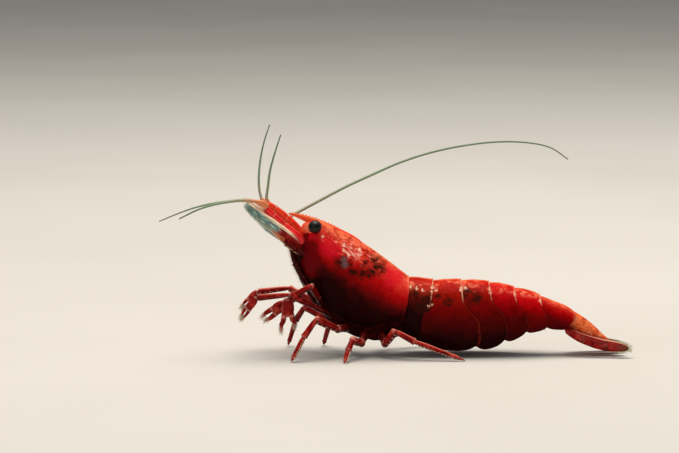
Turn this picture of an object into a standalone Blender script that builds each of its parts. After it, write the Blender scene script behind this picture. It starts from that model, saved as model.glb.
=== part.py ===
# A cherry shrimp, Neocaridina davidi: a full-grown female at life size, standing with its head raised.
# +Z is up, the head points to -Y, the tail to +Y, and the animal's left side is +X.
# All lengths here are millimetres. The last step turns the finished pieces to metres.

import bpy
import bmesh
from math import cos, pi, radians, sin
from mathutils import Matrix, Vector
from mathutils.bvhtree import BVHTree

MM = 0.001
GAP = 0.1  # the thin cut between neighbouring pieces
NEAR = 0.03  # pieces closer than this are cut apart
THIN = 0.5  # least thickness of a feeler, leg or fin
LEFT, RIGHT = 1, -1
SIDES = {"left": LEFT, "right": RIGHT}

# The trunk's outline in the plane of symmetry, as stations from the eyes to the tail fan:
# (back y, back z, lower edge y, lower edge z, half width)
CARAPACE = [
    (-6.00, 10.96, -7.68, 8.40, 1.15),
    (-5.04, 10.48, -7.52, 7.35, 1.55),
    (-3.84, 9.92, -6.96, 5.95, 1.95),
    (-2.64, 9.20, -6.00, 4.70, 2.25),
    (-1.44, 8.40, -4.64, 3.30, 2.40),
    (-0.24, 7.52, -2.88, 2.40, 2.45),
    (0.64, 6.82, -1.04, 2.10, 2.40),
    (1.28, 6.36, 0.32, 2.15, 2.30),
]
ABDOMEN = [
    (1.28, 6.36, 0.50, 1.90, 2.20),
    (3.20, 6.08, 2.48, 0.85, 2.20),
    (5.44, 6.08, 5.86, 0.55, 2.15),
    (7.68, 5.92, 8.30, 1.10, 1.98),
    (9.68, 5.50, 10.20, 1.80, 1.72),
    (11.76, 4.86, 12.16, 2.15, 1.35),
    (14.40, 3.50, 13.84, 2.10, 0.95),
]
# How far each joint line between two segments swings back, level with the side plates
JOINT_SWING = [0.25, -0.60, 1.15, 0.95, 0.70, 0.25, 0.00]
WIDEST = 0.5  # depth of the widest level, as a share of the height
BELLY = 0.62  # depth of the belly between the side plates, as a share of the height

ROSTRUM = [  # (y, z, half height) along the beak
    (-8.32, 11.50, 0.10),
    (-7.60, 11.35, 0.22),
    (-6.60, 10.98, 0.34),
    (-5.40, 10.32, 0.40),
    (-4.50, 9.75, 0.40),
]
THORAX = [  # (y, z, half width, half height) of the breast plate that the legs grow from
    (-6.75, 4.75, 0.50, 0.40),
    (-5.60, 3.50, 0.65, 0.45),
    (-4.10, 2.35, 0.75, 0.50),
    (-2.40, 1.60, 0.80, 0.50),
    (-0.60, 1.45, 0.70, 0.48),
    (0.30, 1.55, 0.50, 0.30),
]

EYE_CENTRE = (1.45, -6.24, 10.50)
EYE_RADIUS = 0.54
EYE_STALK = [(0.30, -6.98, 10.22), (0.80, -6.85, 10.32), (1.32, -6.32, 10.46)]
STALK_RADII = [0.28, 0.36, 0.42]
ORBIT_CENTRE, ORBIT_RADIUS = (0.0, -6.42, 10.36), 0.74  # the notch in the carapace that the eyes lie in

ANTENNULES = {  # the left one is held lower
    "left": [(0.44, -6.72, 8.75), (0.50, -7.60, 9.58), (0.50, -8.90, 10.76), (0.54, -10.18, 12.00)],
    "right": [(0.44, -6.62, 9.02), (0.50, -7.50, 9.88), (0.50, -8.75, 11.12), (0.54, -10.16, 12.16)],
}
ANTENNULE_RADII = [0.40, 0.38, 0.37, 0.36]
ANTENNA_BASE = [(0.85, -6.80, 8.55), (1.00, -7.50, 9.00), (1.10, -8.45, 9.55)]
ANTENNA_BASE_RADII = [0.42, 0.45, 0.36]
SCALE = [
    (1.02, -7.70, 9.35), (1.12, -8.60, 10.10), (1.10, -9.90, 10.95),
    (0.86, -11.10, 11.82), (0.62, -11.68, 12.24),
]
SCALE_HALF_WIDTHS = [0.34, 0.48, 0.50, 0.38, 0.24]
SCALE_TILT = radians(52)  # the outer edge of the antennal scale hangs lower

# The feelers, each from its root to its tip
FEELERS = {
    "antennule_outer_left": [
        (0.88, -10.60, 12.38), (1.20, -11.72, 12.58), (1.75, -12.81, 12.59), (2.50, -14.37, 12.37),
        (3.05, -15.61, 12.00), (3.50, -17.01, 11.35),
    ],
    "antennule_inner_left": [
        (0.22, -10.50, 12.42), (0.45, -11.42, 12.55), (0.90, -12.84, 12.53), (1.40, -14.41, 12.37),
        (1.90, -15.98, 12.03), (2.35, -17.54, 11.49), (2.60, -18.64, 11.04),
    ],
    "antennule_outer_right": [
        (-0.62, -10.08, 12.62), (-0.85, -10.01, 13.52), (-1.10, -9.85, 14.71), (-1.30, -9.49, 16.06),
        (-1.50, -8.97, 17.65),
    ],
    "antennule_inner_right": [
        (-0.50, -10.58, 12.50), (-0.80, -10.72, 13.37), (-1.10, -10.73, 14.63), (-1.50, -10.54, 16.12),
        (-1.80, -10.22, 17.38), (-2.00, -9.86, 18.41),
    ],
    "antenna_left_near": [
        (1.30, -8.76, 9.66), (3.00, -9.32, 10.32), (5.50, -9.78, 11.02), (8.00, -10.08, 11.62),
    ],
    "antenna_left_far": [
        (8.09, -10.09, 11.64), (10.00, -10.28, 12.06), (12.00, -10.44, 12.46), (14.30, -10.58, 12.87),
    ],
    "antenna_right_near": [
        (-1.35, -8.72, 9.90), (-1.90, -8.62, 10.45), (-2.35, -8.20, 10.90), (-2.70, -7.47, 11.29),
        (-3.40, -6.02, 11.99), (-4.40, -3.83, 13.04), (-5.50, -1.63, 13.94),
    ],
    "antenna_right_far": [
        (-5.55, -1.54, 13.98), (-6.70, 0.68, 14.82), (-7.90, 3.17, 15.50), (-9.30, 5.85, 15.93),
        (-10.60, 8.64, 16.13), (-11.70, 11.20, 15.99), (-12.60, 13.35, 15.48), (-13.30, 15.01, 14.36),
    ],
}

# Walking legs: root, thigh with its bend, knee, wrist, foot. The feet stand on the floor.
WALKING_LEGS = {
    "leg_3_left": [
        (0.95, -3.60, 1.95), (1.90, -4.45, 2.35), (3.10, -6.14, 3.30),
        (3.60, -7.12, 1.95), (4.05, -8.12, 0.0),
    ],
    "leg_3_right": [
        (-0.95, -3.60, 1.95), (-1.80, -5.05, 2.50), (-2.95, -7.10, 3.45),
        (-3.70, -7.85, 2.20), (-4.20, -8.50, 0.0),
    ],
    "leg_4_left": [
        (1.00, -2.20, 1.50), (2.00, -2.55, 1.22), (3.12, -3.25, 1.65),
        (3.70, -3.60, 0.92), (4.50, -3.88, 0.0),
    ],
    "leg_4_right": [
        (-1.00, -2.30, 1.50), (-1.90, -3.20, 1.85), (-3.00, -4.60, 2.70),
        (-3.70, -5.20, 1.60), (-4.50, -5.60, 0.0),
    ],
    "leg_5_left": [
        (0.95, -0.95, 1.50), (2.05, -0.62, 1.18), (2.70, 0.12, 2.30),
        (3.10, 1.72, 1.50), (3.45, 5.75, 0.0),
    ],
    "leg_5_right": [
        (-0.95, -0.95, 1.50), (-2.05, -0.75, 1.35), (-2.80, -0.10, 2.40),
        (-3.35, 1.40, 1.55), (-3.95, 4.30, 0.0),
    ],
}
# Claw arms: root, knee, wrist, then the claw's tip
CLAW_ARMS = {
    "arm_1_left": [(0.75, -5.70, 3.75), (2.20, -6.54, 5.87), (2.00, -8.38, 4.75), (1.75, -8.62, 2.45)],
    "arm_1_right": [(-0.75, -5.70, 3.75), (-1.45, -7.30, 4.60), (-1.55, -8.70, 3.92), (-1.40, -10.50, 2.72)],
    "arm_2_left": [(0.90, -4.80, 2.85), (2.50, -8.30, 5.20), (1.80, -10.92, 4.85), (1.40, -12.15, 3.15)],
    "arm_2_right": [(-1.00, -4.80, 2.85), (-2.75, -8.35, 5.00), (-1.90, -10.95, 4.80), (-1.20, -12.15, 3.60)],
}
THIGH_RADIUS, SHIN_RADIUS, FOOT_RADIUS = 0.33, 0.27, 0.25
ARM_RADIUS = 0.27
CLAW_THICKNESS = 0.5
CLAW_WIDTHS = {"arm_1": 0.84, "arm_2": 0.66}  # the first pair of claws is the stout one
MAXILLIPED = [(0.55, -6.40, 5.20), (0.80, -7.25, 6.40), (0.85, -7.85, 7.60), (0.80, -8.14, 8.75)]
MAXILLIPED_RADII = [0.30, 0.29, 0.27, 0.25]

TELSON = [(0.0, 14.45, 2.85), (0.0, 15.60, 2.12), (0.0, 17.00, 1.18), (0.0, 17.85, 0.80)]
TELSON_HALF_WIDTHS = [0.62, 0.60, 0.42, 0.28]
TELSON_HALF_HEIGHTS = [0.50, 0.42, 0.28, 0.25]
INNER_FAN = [(0.40, 14.25, 1.95), (0.48, 15.20, 1.55), (0.62, 17.00, 0.86), (0.74, 18.40, 0.55)]
INNER_HALF_WIDTHS = [0.28, 0.34, 0.36, 0.22]
OUTER_FAN = [
    (0.98, 13.95, 2.10), (1.24, 14.90, 1.58), (1.50, 16.50, 1.07), (1.72, 17.70, 0.90), (1.86, 18.75, 0.78),
]
OUTER_HALF_WIDTHS = [0.30, 0.46, 0.54, 0.52, 0.26]
OUTER_TILT = radians(50)  # the outer edge of the outer fan blade hangs lower
SWIMMERET_LENGTH = [0.95, 1.25, 1.15, 0.95, 0.75]
SWIMMERET_HALF_WIDTH, SWIMMERET_BAR = 0.33, 0.5


# ---- curves and blends ----

def blend(low, high, x):
    """0 below low, 1 above high, and a smooth rise between"""
    t = min(1.0, max(0.0, (x - low) / (high - low)))
    return t * t * (3 - 2 * t)


def at(stations, s):
    """A station, or a point, anywhere along a list of them, on a curve through them all"""
    i = min(int(s), len(stations) - 2)
    t = s - i
    a, b = stations[i], stations[i + 1]
    before = stations[i - 1] if i > 0 else [2 * p - q for p, q in zip(a, b)]
    after = stations[i + 2] if i + 2 < len(stations) else [2 * q - p for p, q in zip(a, b)]
    return [
        0.5 * (2 * p + (q - o) * t + (2 * o - 5 * p + 4 * q - r) * t**2 + (3 * p - o - 3 * q + r) * t**3)
        for o, p, q, r in zip(before, a, b, after)
    ]


def curve(points, per_span):
    """Points on a smooth curve through the given ones"""
    count = (len(points) - 1) * per_span
    return [Vector(at(points, i / per_span)) for i in range(count + 1)]


def mirrored(points, side):
    return [(side * x, y, z) for x, y, z in points]


# ---- meshes ----

def material(name, colour, roughness):
    made = bpy.data.materials.new(name)
    made.use_nodes = True
    shader = made.node_tree.nodes["Principled BSDF"]
    shader.inputs["Base Color"].default_value = (*colour, 1)
    shader.inputs["Roughness"].default_value = roughness
    shader.inputs["Metallic"].default_value = 0.0
    return made


def new_object(name, bm, look):
    bmesh.ops.recalc_face_normals(bm, faces=bm.faces)
    mesh = bpy.data.meshes.new(name)
    bm.to_mesh(mesh)
    bm.free()
    obj = bpy.data.objects.new(name, mesh)
    bpy.context.scene.collection.objects.link(obj)
    mesh.materials.append(look)
    return obj


def loft(name, rings, look, banded=False):
    """A closed solid through rings of points. The second half of a banded ring runs back along its inner side."""
    bm = bmesh.new()
    rows = [[bm.verts.new(p) for p in ring] for ring in rings]
    count = len(rows[0])
    for first, second in zip(rows, rows[1:]):
        for i in range(count):
            j = (i + 1) % count
            bm.faces.new((first[i], first[j], second[j], second[i]))
    for row in (rows[0], rows[-1]):
        if banded:
            for i in range(count // 2 - 1):
                bm.faces.new((row[i], row[i + 1], row[count - 2 - i], row[count - 1 - i]))
        else:
            bm.faces.new(row)
    return new_object(name, bm, look)


def round_ring(centre, along, width, height, count, up=Vector((0, 0, 1))):
    """An ellipse of points square to a direction"""
    across = along.cross(up)
    across = across.normalized() if across.length > 1e-6 else Vector((1, 0, 0))
    rise = across.cross(along).normalized()
    return [
        centre + across * (width * cos(angle)) + rise * (height * sin(angle))
        for angle in (2 * pi * (i + 0.5) / count for i in range(count))
    ]


def directions(points):
    """The way the line runs at each of its points"""
    ends = [points[0], *points, points[-1]]
    return [(ends[i + 2] - ends[i]).normalized() for i in range(len(points))]


def tube(name, points, radii, look, sides=8):
    ways = directions(points)
    side_way = Vector((0.31, 0.22, 0.93))
    rings = [round_ring(p, way, r, r, sides, side_way) for p, way, r in zip(points, ways, radii)]
    return loft(name, rings, look)


def blade(name, points, half_widths, flat_way, look):
    """A flat fin with rounded edges. flat_way points out of its broad face."""
    rings = []
    for p, way, half in zip(points, directions(points), half_widths):
        across = way.cross(flat_way).normalized()
        out = across.cross(way).normalized()
        soft = 0.62
        profile = [(1, 0.4), (soft, 1), (-soft, 1), (-1, 0.4), (-1, -0.4), (-soft, -1), (soft, -1), (1, -0.4)]
        rings.append([p + across * (half * a) + out * (THIN / 2 * b) for a, b in profile])
    return loft(name, rings, look)


def plate(name, outline, out, look, thickness=THIN):
    """A flat piece with the given outline"""
    bm = bmesh.new()
    back = [bm.verts.new(p - out * (thickness / 2)) for p in outline]
    front = [bm.verts.new(p + out * (thickness / 2)) for p in outline]
    for i, j in zip(range(len(outline)), [*range(1, len(outline)), 0]):
        bm.faces.new((back[i], back[j], front[j], front[i]))
    bm.faces.new(back)
    bm.faces.new(front)
    return new_object(name, bm, look)


# ---- fitting the pieces together ----

def tree_of(obj, grow=0.0):
    mesh = obj.data
    points = [v.co + v.normal * grow for v in mesh.vertices]
    return BVHTree.FromPolygons(points, [tuple(p.vertices) for p in mesh.polygons])


def grown_copy(obj, by):
    cutter = bpy.data.objects.new("cutter", obj.data.copy())
    bm = bmesh.new()
    bm.from_mesh(cutter.data)
    bmesh.ops.triangulate(bm, faces=bm.faces)
    bm.normal_update()
    moves = [v.normal * min(v.calc_shell_factor(), 1.6) * by for v in bm.verts]
    for v, move in zip(bm.verts, moves):
        v.co += move
    bm.to_mesh(cutter.data)
    bm.free()
    bpy.context.scene.collection.objects.link(cutter)
    return cutter


def largest_body(mesh):
    """Drops the crumbs that a cut leaves beside the main body"""
    bm = bmesh.new()
    bm.from_mesh(mesh)
    left, bodies = set(bm.verts), []
    while left:
        body, edge = set(), [left.pop()]
        while edge:
            v = edge.pop()
            body.add(v)
            near = {e.other_vert(v) for e in v.link_edges} & left
            left -= near
            edge += near
        bodies.append(body)
    bodies.sort(key=len)
    bmesh.ops.delete(bm, geom=[v for body in bodies[:-1] for v in body], context="VERTS")
    bm.to_mesh(mesh)
    bm.free()


def is_closed(mesh):
    faces_at = {key: 0 for key in mesh.edge_keys}
    for polygon in mesh.polygons:
        for key in polygon.edge_keys:
            faces_at[key] += 1
    return all(count == 2 for count in faces_at.values())


def combine(obj, other, how):
    modifier = obj.modifiers.new(how, "BOOLEAN")
    modifier.operation = how
    modifier.solver = "EXACT"
    modifier.use_self = True
    modifier.object = other
    graph = bpy.context.evaluated_depsgraph_get()
    mesh = bpy.data.meshes.new_from_object(obj.evaluated_get(graph))
    obj.modifiers.remove(modifier)
    obj.data = mesh
    bpy.data.objects.remove(other)


def settle(obj, finished):
    """Cuts a piece back from each finished neighbour that it meets, and adds it to them"""
    for other in finished:
        if tree_of(obj).overlap(tree_of(other, NEAR)):
            whole = obj.data
            for gap in (GAP, 1.1 * GAP, 1.2 * GAP, 0.9 * GAP):
                obj.data = whole
                combine(obj, grown_copy(other, gap), "DIFFERENCE")
                largest_body(obj.data)
                if is_closed(obj.data):
                    break
    finished.append(obj)
    return obj


def cut_at_floor(obj):
    """The part below the floor is cut off, which leaves a small flat to stand on"""
    bm = bmesh.new()
    bm.from_mesh(obj.data)
    whole = bm.verts[:] + bm.edges[:] + bm.faces[:]
    made = bmesh.ops.bisect_plane(bm, geom=whole, plane_co=(0, 0, 0), plane_no=(0, 0, -1), clear_outer=True)
    rim = [e for e in made["geom_cut"] if isinstance(e, bmesh.types.BMEdge)]
    if rim:
        bmesh.ops.holes_fill(bm, edges=rim)
    bmesh.ops.recalc_face_normals(bm, faces=bm.faces)
    bm.to_mesh(obj.data)
    bm.free()


# ---- the trunk ----

def profile(inward, arch_points=6, side_points=4):
    """Half of the trunk's cross-section as (share of half width, share of depth), from the back to the lower edge"""
    arch = [(sin(a), WIDEST * (1 - cos(a))) for a in [pi / 2 * i / arch_points for i in range(arch_points + 1)]]
    side = []
    for i in range(1, side_points + 1):
        t = i / side_points
        side.append((1 - inward * t**1.8, WIDEST + (1 - WIDEST) * t))
    return arch + side


def trunk_point(station, share_x, depth):
    back_y, back_z, low_y, low_z, half_width = station
    return Vector((share_x * half_width, back_y + (low_y - back_y) * depth, back_z + (low_z - back_z) * depth))


def make_carapace(look):
    half = profile(inward=0.62)
    rings = []
    for i in range(15):
        station = at(CARAPACE, i / 2)
        right = [trunk_point(station, -x, depth) for x, depth in half[::-1]]
        left = [trunk_point(station, x, depth) for x, depth in half[1:]]
        bulge = 0.3 * blend(11, 14, i)  # the rear edge is bowed
        for p, (_, depth) in zip(right + left, half[::-1] + half[1:]):
            p.y += bulge * sin(pi * depth)
        rings.append(right + left)
    shell = loft("carapace", rings, look)
    across = [Vector((x, *ORBIT_CENTRE[1:])) for x in (-2.5, 0.0, 2.5)]
    combine(shell, tube("orbit", across, [ORBIT_RADIUS] * 3, look, 16), "DIFFERENCE")
    beak_rings = []
    for i in range(9):
        y, z, half_height = at(ROSTRUM, i / 2)
        beak_rings.append(round_ring(Vector((0, y, z)), Vector((0, 0.9, -0.4)), THIN / 2, half_height, 8))
    combine(shell, loft("beak", beak_rings, look), "UNION")
    return shell


def segment_ring(index, share, shrink):
    """The ring of points round one abdomen segment, share of the way from its front joint to its rear one"""
    half = profile(inward=0.14)
    wall = THIN
    front, rear = ABDOMEN[index], ABDOMEN[index + 1]
    station = list(at(ABDOMEN, index + share))
    length = rear[0] - front[0]
    inset = GAP / 2 / length
    share_inset = inset + share * (1 - 2 * inset)
    station = at(ABDOMEN, index + share_inset)
    corner = 0.55 * (abs(2 * share - 1)) ** 3  # the side plate's lower corners are round
    outer, inner = [], []
    for side in (RIGHT, LEFT):
        rows = half[::-1] if side == RIGHT else half[1:]
        for x, depth in rows:
            lifted = depth - corner * 0.16 * blend(0.75, 1.0, depth)
            p = trunk_point(station, side * x * shrink, lifted)
            swing = JOINT_SWING[index] * (1 - share) + JOINT_SWING[index + 1] * share
            p.y += swing * blend(0.25, 0.6, depth) * (1 - 0.35 * blend(0.8, 1.0, depth))
            outer.append(p)
            thick_share = 1 - wall / station[4]
            if depth > BELLY:
                q = p.copy()
                q.x -= side * wall
            else:
                q = trunk_point(station, side * x * thick_share, BELLY)
                q.y += swing * blend(0.25, 0.6, BELLY)
            inner.append(q)
    return outer + inner[::-1]


def make_abdomen(look, finished):
    for index in range(6):
        rings = []
        for share, shrink in ((0.0, 0.93), (0.12, 0.97), (0.5, 1.0), (0.85, 1.0), (1.0, 0.97)):
            rings.append(segment_ring(index, share, shrink))
        settle(loft(f"abdomen_{index + 1}", rings, look, banded=True), finished)


def make_thorax(look, finished):
    rings = []
    for i in range(2 * (len(THORAX) - 1) + 1):
        y, z, half_width, half_height = at(THORAX, i / 2)
        rings.append(round_ring(Vector((0, y, z)), Vector((0, 1, -0.45)), half_width, half_height, 10))
    settle(loft("thorax", rings, look), finished)


# ---- head pieces ----

def make_eyes(eye_look, stalk_look, finished):
    for word, side in SIDES.items():
        bm = bmesh.new()
        bmesh.ops.create_uvsphere(bm, u_segments=16, v_segments=10, radius=EYE_RADIUS)
        centre = Vector((side * EYE_CENTRE[0], EYE_CENTRE[1], EYE_CENTRE[2]))
        bmesh.ops.translate(bm, verts=bm.verts, vec=centre)
        settle(new_object(f"eye_{word}", bm, eye_look), finished)
        points = [Vector(p) for p in mirrored(EYE_STALK, side)]
        settle(tube(f"eyestalk_{word}", points, STALK_RADII, stalk_look, 10), finished)


def make_head_limbs(look, scale_look, feeler_look, finished):
    for word, side in SIDES.items():
        points = [Vector(p) for p in mirrored(ANTENNULES[word], side)]
        settle(tube(f"antennule_{word}", points, ANTENNULE_RADII, look, 10), finished)
        points = [Vector(p) for p in mirrored(ANTENNA_BASE, side)]
        settle(tube(f"antenna_base_{word}", points, ANTENNA_BASE_RADII, look, 10), finished)
        points = [Vector(p) for p in mirrored(SCALE, side)]
        flat_way = Vector((side * sin(SCALE_TILT), 0.45 * cos(SCALE_TILT), cos(SCALE_TILT)))
        settle(blade(f"antennal_scale_{word}", points, SCALE_HALF_WIDTHS, flat_way, scale_look), finished)
        points = [Vector(p) for p in mirrored(MAXILLIPED, side)]
        settle(tube(f"maxilliped_{word}", points, MAXILLIPED_RADII, look, 8), finished)
    for name, points in FEELERS.items():
        line = curve(points, 2)
        settle(tube(f"feeler_{name}", line, [THIN / 2] * len(line), feeler_look, 6), finished)


# ---- legs ----

def limb_line(joints, radius, swell=1.1):
    """Points and radii along straight leg segments, a little narrower at each joint"""
    line, radii = [joints[0]], [radius]
    for first, second in zip(joints, joints[1:]):
        for share, size in ((0.25, swell), (0.8, 1.0), (1.0, 0.92)):
            line.append(first.lerp(second, share))
            radii.append(radius * size)
    return line, radii


def make_walking_legs(look, finished):
    for name, joints in WALKING_LEGS.items():
        root, bend, knee, wrist, foot = [Vector(p) for p in joints]
        line, radii = limb_line([root, bend, knee], THIGH_RADIUS, swell=1.0)
        settle(tube(f"{name}_upper", line, radii, look), finished)
        way = (wrist - knee).normalized()
        line, radii = limb_line([knee - way * 0.05, wrist, foot], SHIN_RADIUS)
        line, radii = line[:-1], radii[:-1]
        last_way = (foot - wrist).normalized()
        line.append(foot + last_way * FOOT_RADIUS * 1.5)
        radii.append(FOOT_RADIUS)
        shin = tube(f"{name}_lower", line, radii, look)
        cut_at_floor(shin)
        settle(shin, finished)


def make_claw(name, wrist, tip, width, look):
    """A flat pincer with a notch between its two fingers"""
    way = (tip - wrist).normalized()
    side_way = (Vector((1, 0, 0)) - way * way.x).normalized()
    across = way.cross(side_way)
    length = (tip - wrist).length
    outline = [  # (share of the length, share of the half width)
        (0.00, -0.62), (0.14, -0.95), (0.50, -1.00), (0.80, -0.90), (1.00, -0.55), (0.94, -0.30),
        (0.60, 0.00), (0.94, 0.30), (1.00, 0.55), (0.80, 0.90), (0.50, 1.00), (0.14, 0.95), (0.00, 0.62),
    ]
    points = [wrist + way * (a * length) + across * (b * width / 2) for a, b in outline]
    return plate(name, points, side_way, look, CLAW_THICKNESS)


def make_claw_arms(look, finished):
    for name, joints in CLAW_ARMS.items():
        root, knee, wrist, tip = [Vector(p) for p in joints]
        line, radii = limb_line([root, knee, wrist], ARM_RADIUS)
        settle(tube(name, line, radii, look), finished)
        width = CLAW_WIDTHS[name.rpartition("_")[0]]
        settle(make_claw(name.replace("arm", "claw"), wrist, tip, width, look), finished)


# ---- tail fan and swimmerets ----

def make_tail_fan(look, finished):
    up = Vector((0, 0.45, 1))
    points = [Vector(p) for p in TELSON]
    sizes = zip(points, directions(points), TELSON_HALF_WIDTHS, TELSON_HALF_HEIGHTS)
    rings = [round_ring(p, way, half_width, half_height, 10) for p, way, half_width, half_height in sizes]
    settle(loft("telson", rings, look), finished)
    for word, side in SIDES.items():
        points = [Vector(p) for p in mirrored(INNER_FAN, side)]
        settle(blade(f"uropod_inner_{word}", points, INNER_HALF_WIDTHS, up, look), finished)
        points = [Vector(p) for p in mirrored(OUTER_FAN, side)]
        tilted = Vector((side * sin(OUTER_TILT), 0.4, cos(OUTER_TILT)))
        settle(blade(f"uropod_outer_{word}", points, OUTER_HALF_WIDTHS, tilted, look), finished)


def make_swimmerets(look, finished):
    """Each pair of leaf-shaped swimmerets is joined by a bar under the belly"""
    away = Vector((0, 0.62, -0.785))
    leaf = [(-0.55, 0.0), (-1.0, 0.35), (-0.9, 0.75), (0.0, 1.0), (0.9, 0.75), (1.0, 0.35), (0.7, 0.1)]
    for index, length in enumerate(SWIMMERET_LENGTH):
        station = at(ABDOMEN, index + 0.5)
        root = trunk_point(station, 0, BELLY) + Vector((0, 0.25, 0.05))
        apart = (station[4] - THIN) * 0.42
        half = [(a * SWIMMERET_HALF_WIDTH - apart, SWIMMERET_BAR + b * length) for a, b in leaf]
        half = [(half[0][0], 0.0), *half]
        outline = half + [(-x, down) for x, down in half[::-1]]
        points = [root + Vector((x, 0, 0)) + away * down for x, down in outline]
        settle(plate(f"swimmerets_{index + 1}", points, away.cross(Vector((1, 0, 0))), look), finished)


# ---- the whole animal ----

def to_metres_on_origin(finished):
    """Centres the animal's box over the origin, with its feet at z = 0, in metres"""
    corners = [v.co for obj in finished for v in obj.data.vertices]
    middle = [(min(c[k] for c in corners) + max(c[k] for c in corners)) / 2 for k in (0, 1)]
    move = Matrix.Translation((-middle[0], -middle[1], 0))
    for obj in finished:
        obj.data.transform(Matrix.Scale(MM, 4) @ move)
        obj.data.shade_smooth()
        obj.data.set_sharp_from_angle(angle=radians(40))


def main():
    for obj in list(bpy.data.objects):
        bpy.data.objects.remove(obj)
    shell = material("red shell", (0.55, 0.02, 0.02), 0.3)
    dark_shell = material("dark red underside", (0.16, 0.01, 0.01), 0.4)
    limb = material("red limb", (0.62, 0.04, 0.03), 0.3)
    cornea = material("black eye", (0.01, 0.008, 0.008), 0.15)
    clear = material("pale antennal scale", (0.55, 0.62, 0.62), 0.3)
    feeler = material("grey-green feeler", (0.35, 0.42, 0.33), 0.4)
    finished = []
    settle(make_carapace(shell), finished)
    make_abdomen(shell, finished)
    make_thorax(dark_shell, finished)
    make_eyes(cornea, limb, finished)
    make_head_limbs(limb, clear, feeler, finished)
    make_walking_legs(limb, finished)
    make_claw_arms(limb, finished)
    make_tail_fan(shell, finished)
    make_swimmerets(limb, finished)
    to_metres_on_origin(finished)


main()
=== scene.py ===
import math

import bpy
import numpy as np
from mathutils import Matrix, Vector


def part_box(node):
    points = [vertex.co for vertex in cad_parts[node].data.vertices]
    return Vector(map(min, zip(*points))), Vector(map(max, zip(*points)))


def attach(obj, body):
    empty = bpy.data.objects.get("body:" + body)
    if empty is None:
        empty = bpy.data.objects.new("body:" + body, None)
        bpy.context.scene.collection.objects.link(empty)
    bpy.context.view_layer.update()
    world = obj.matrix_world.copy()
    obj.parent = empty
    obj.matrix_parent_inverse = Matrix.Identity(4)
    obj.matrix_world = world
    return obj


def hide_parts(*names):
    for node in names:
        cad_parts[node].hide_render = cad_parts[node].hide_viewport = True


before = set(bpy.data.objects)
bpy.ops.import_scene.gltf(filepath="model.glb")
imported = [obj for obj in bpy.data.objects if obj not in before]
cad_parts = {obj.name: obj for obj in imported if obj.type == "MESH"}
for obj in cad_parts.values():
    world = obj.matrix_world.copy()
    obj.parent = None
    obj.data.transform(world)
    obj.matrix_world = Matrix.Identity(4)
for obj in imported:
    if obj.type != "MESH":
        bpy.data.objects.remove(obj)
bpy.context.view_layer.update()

# Sizes are millimetres in the part's own drawing: head to -Y, tail to +Y, the animal's left to +X.
# The drawing's place in the frame comes from the left eye's box.
mm = 0.001
floorGap = 0.00002  # metres
sides = {"left": 1, "right": -1}
eye = {
    "centre": (1.45, -6.24, 10.50),
    "radius": 0.54,
    "rightDrop": 0.16,  # the right eye is turned down a little
    "stalk": [(0.22, -6.98, 10.16), (0.66, -6.96, 10.26), (1.05, -6.72, 10.38), (1.32, -6.36, 10.46)],
    "stalkRadii": [0.28, 0.38, 0.42, 0.46],
}
eyeLow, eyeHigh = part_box("eye_left")
drawingShift = np.array((eyeLow + eyeHigh) / 2) / mm - np.array(eye["centre"])


def inFrame(points):  # drawing millimetres to metres in the frame
    return (np.asarray(points, float) + drawingShift) * mm


def blend(low, high, x):  # 0 below low, 1 above high, a smooth rise between
    t = np.clip((np.asarray(x, float) - low) / (high - low), 0, 1)
    return t * t * (3 - 2 * t)


def bump(centre, width, x):  # 1 at the centre, falling away on both sides
    return np.exp(-(((np.asarray(x, float) - centre) / width) ** 2))


def along(stations, s):  # a smooth curve through all the stations
    st = np.asarray(stations, float)
    s = np.asarray(s, float)
    padded = np.vstack([2 * st[0] - st[1], st, 2 * st[-1] - st[-2]])
    i = np.clip(s.astype(int), 0, len(st) - 2)
    t = (s - i)[..., None]
    o, p, q, r = padded[i], padded[i + 1], padded[i + 2], padded[i + 3]
    return 0.5 * (2 * p + (q - o) * t + (2 * o - 5 * p + 4 * q - r) * t**2 + (3 * p - o - 3 * q + r) * t**3)


def unit(vectors):
    vectors = np.asarray(vectors, float)
    return vectors / np.maximum(np.linalg.norm(vectors, axis=-1, keepdims=True), 1e-12)


def mirrored(points, side):
    return [(side * p[0], p[1], p[2]) for p in points]


def applyModifier(piece, kind, **settings):
    bpy.context.view_layer.objects.active = piece
    modifier = piece.modifiers.new(kind.lower(), kind)
    for key, value in settings.items():
        setattr(modifier, key, value)
    bpy.ops.object.modifier_apply(modifier=modifier.name)


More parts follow.
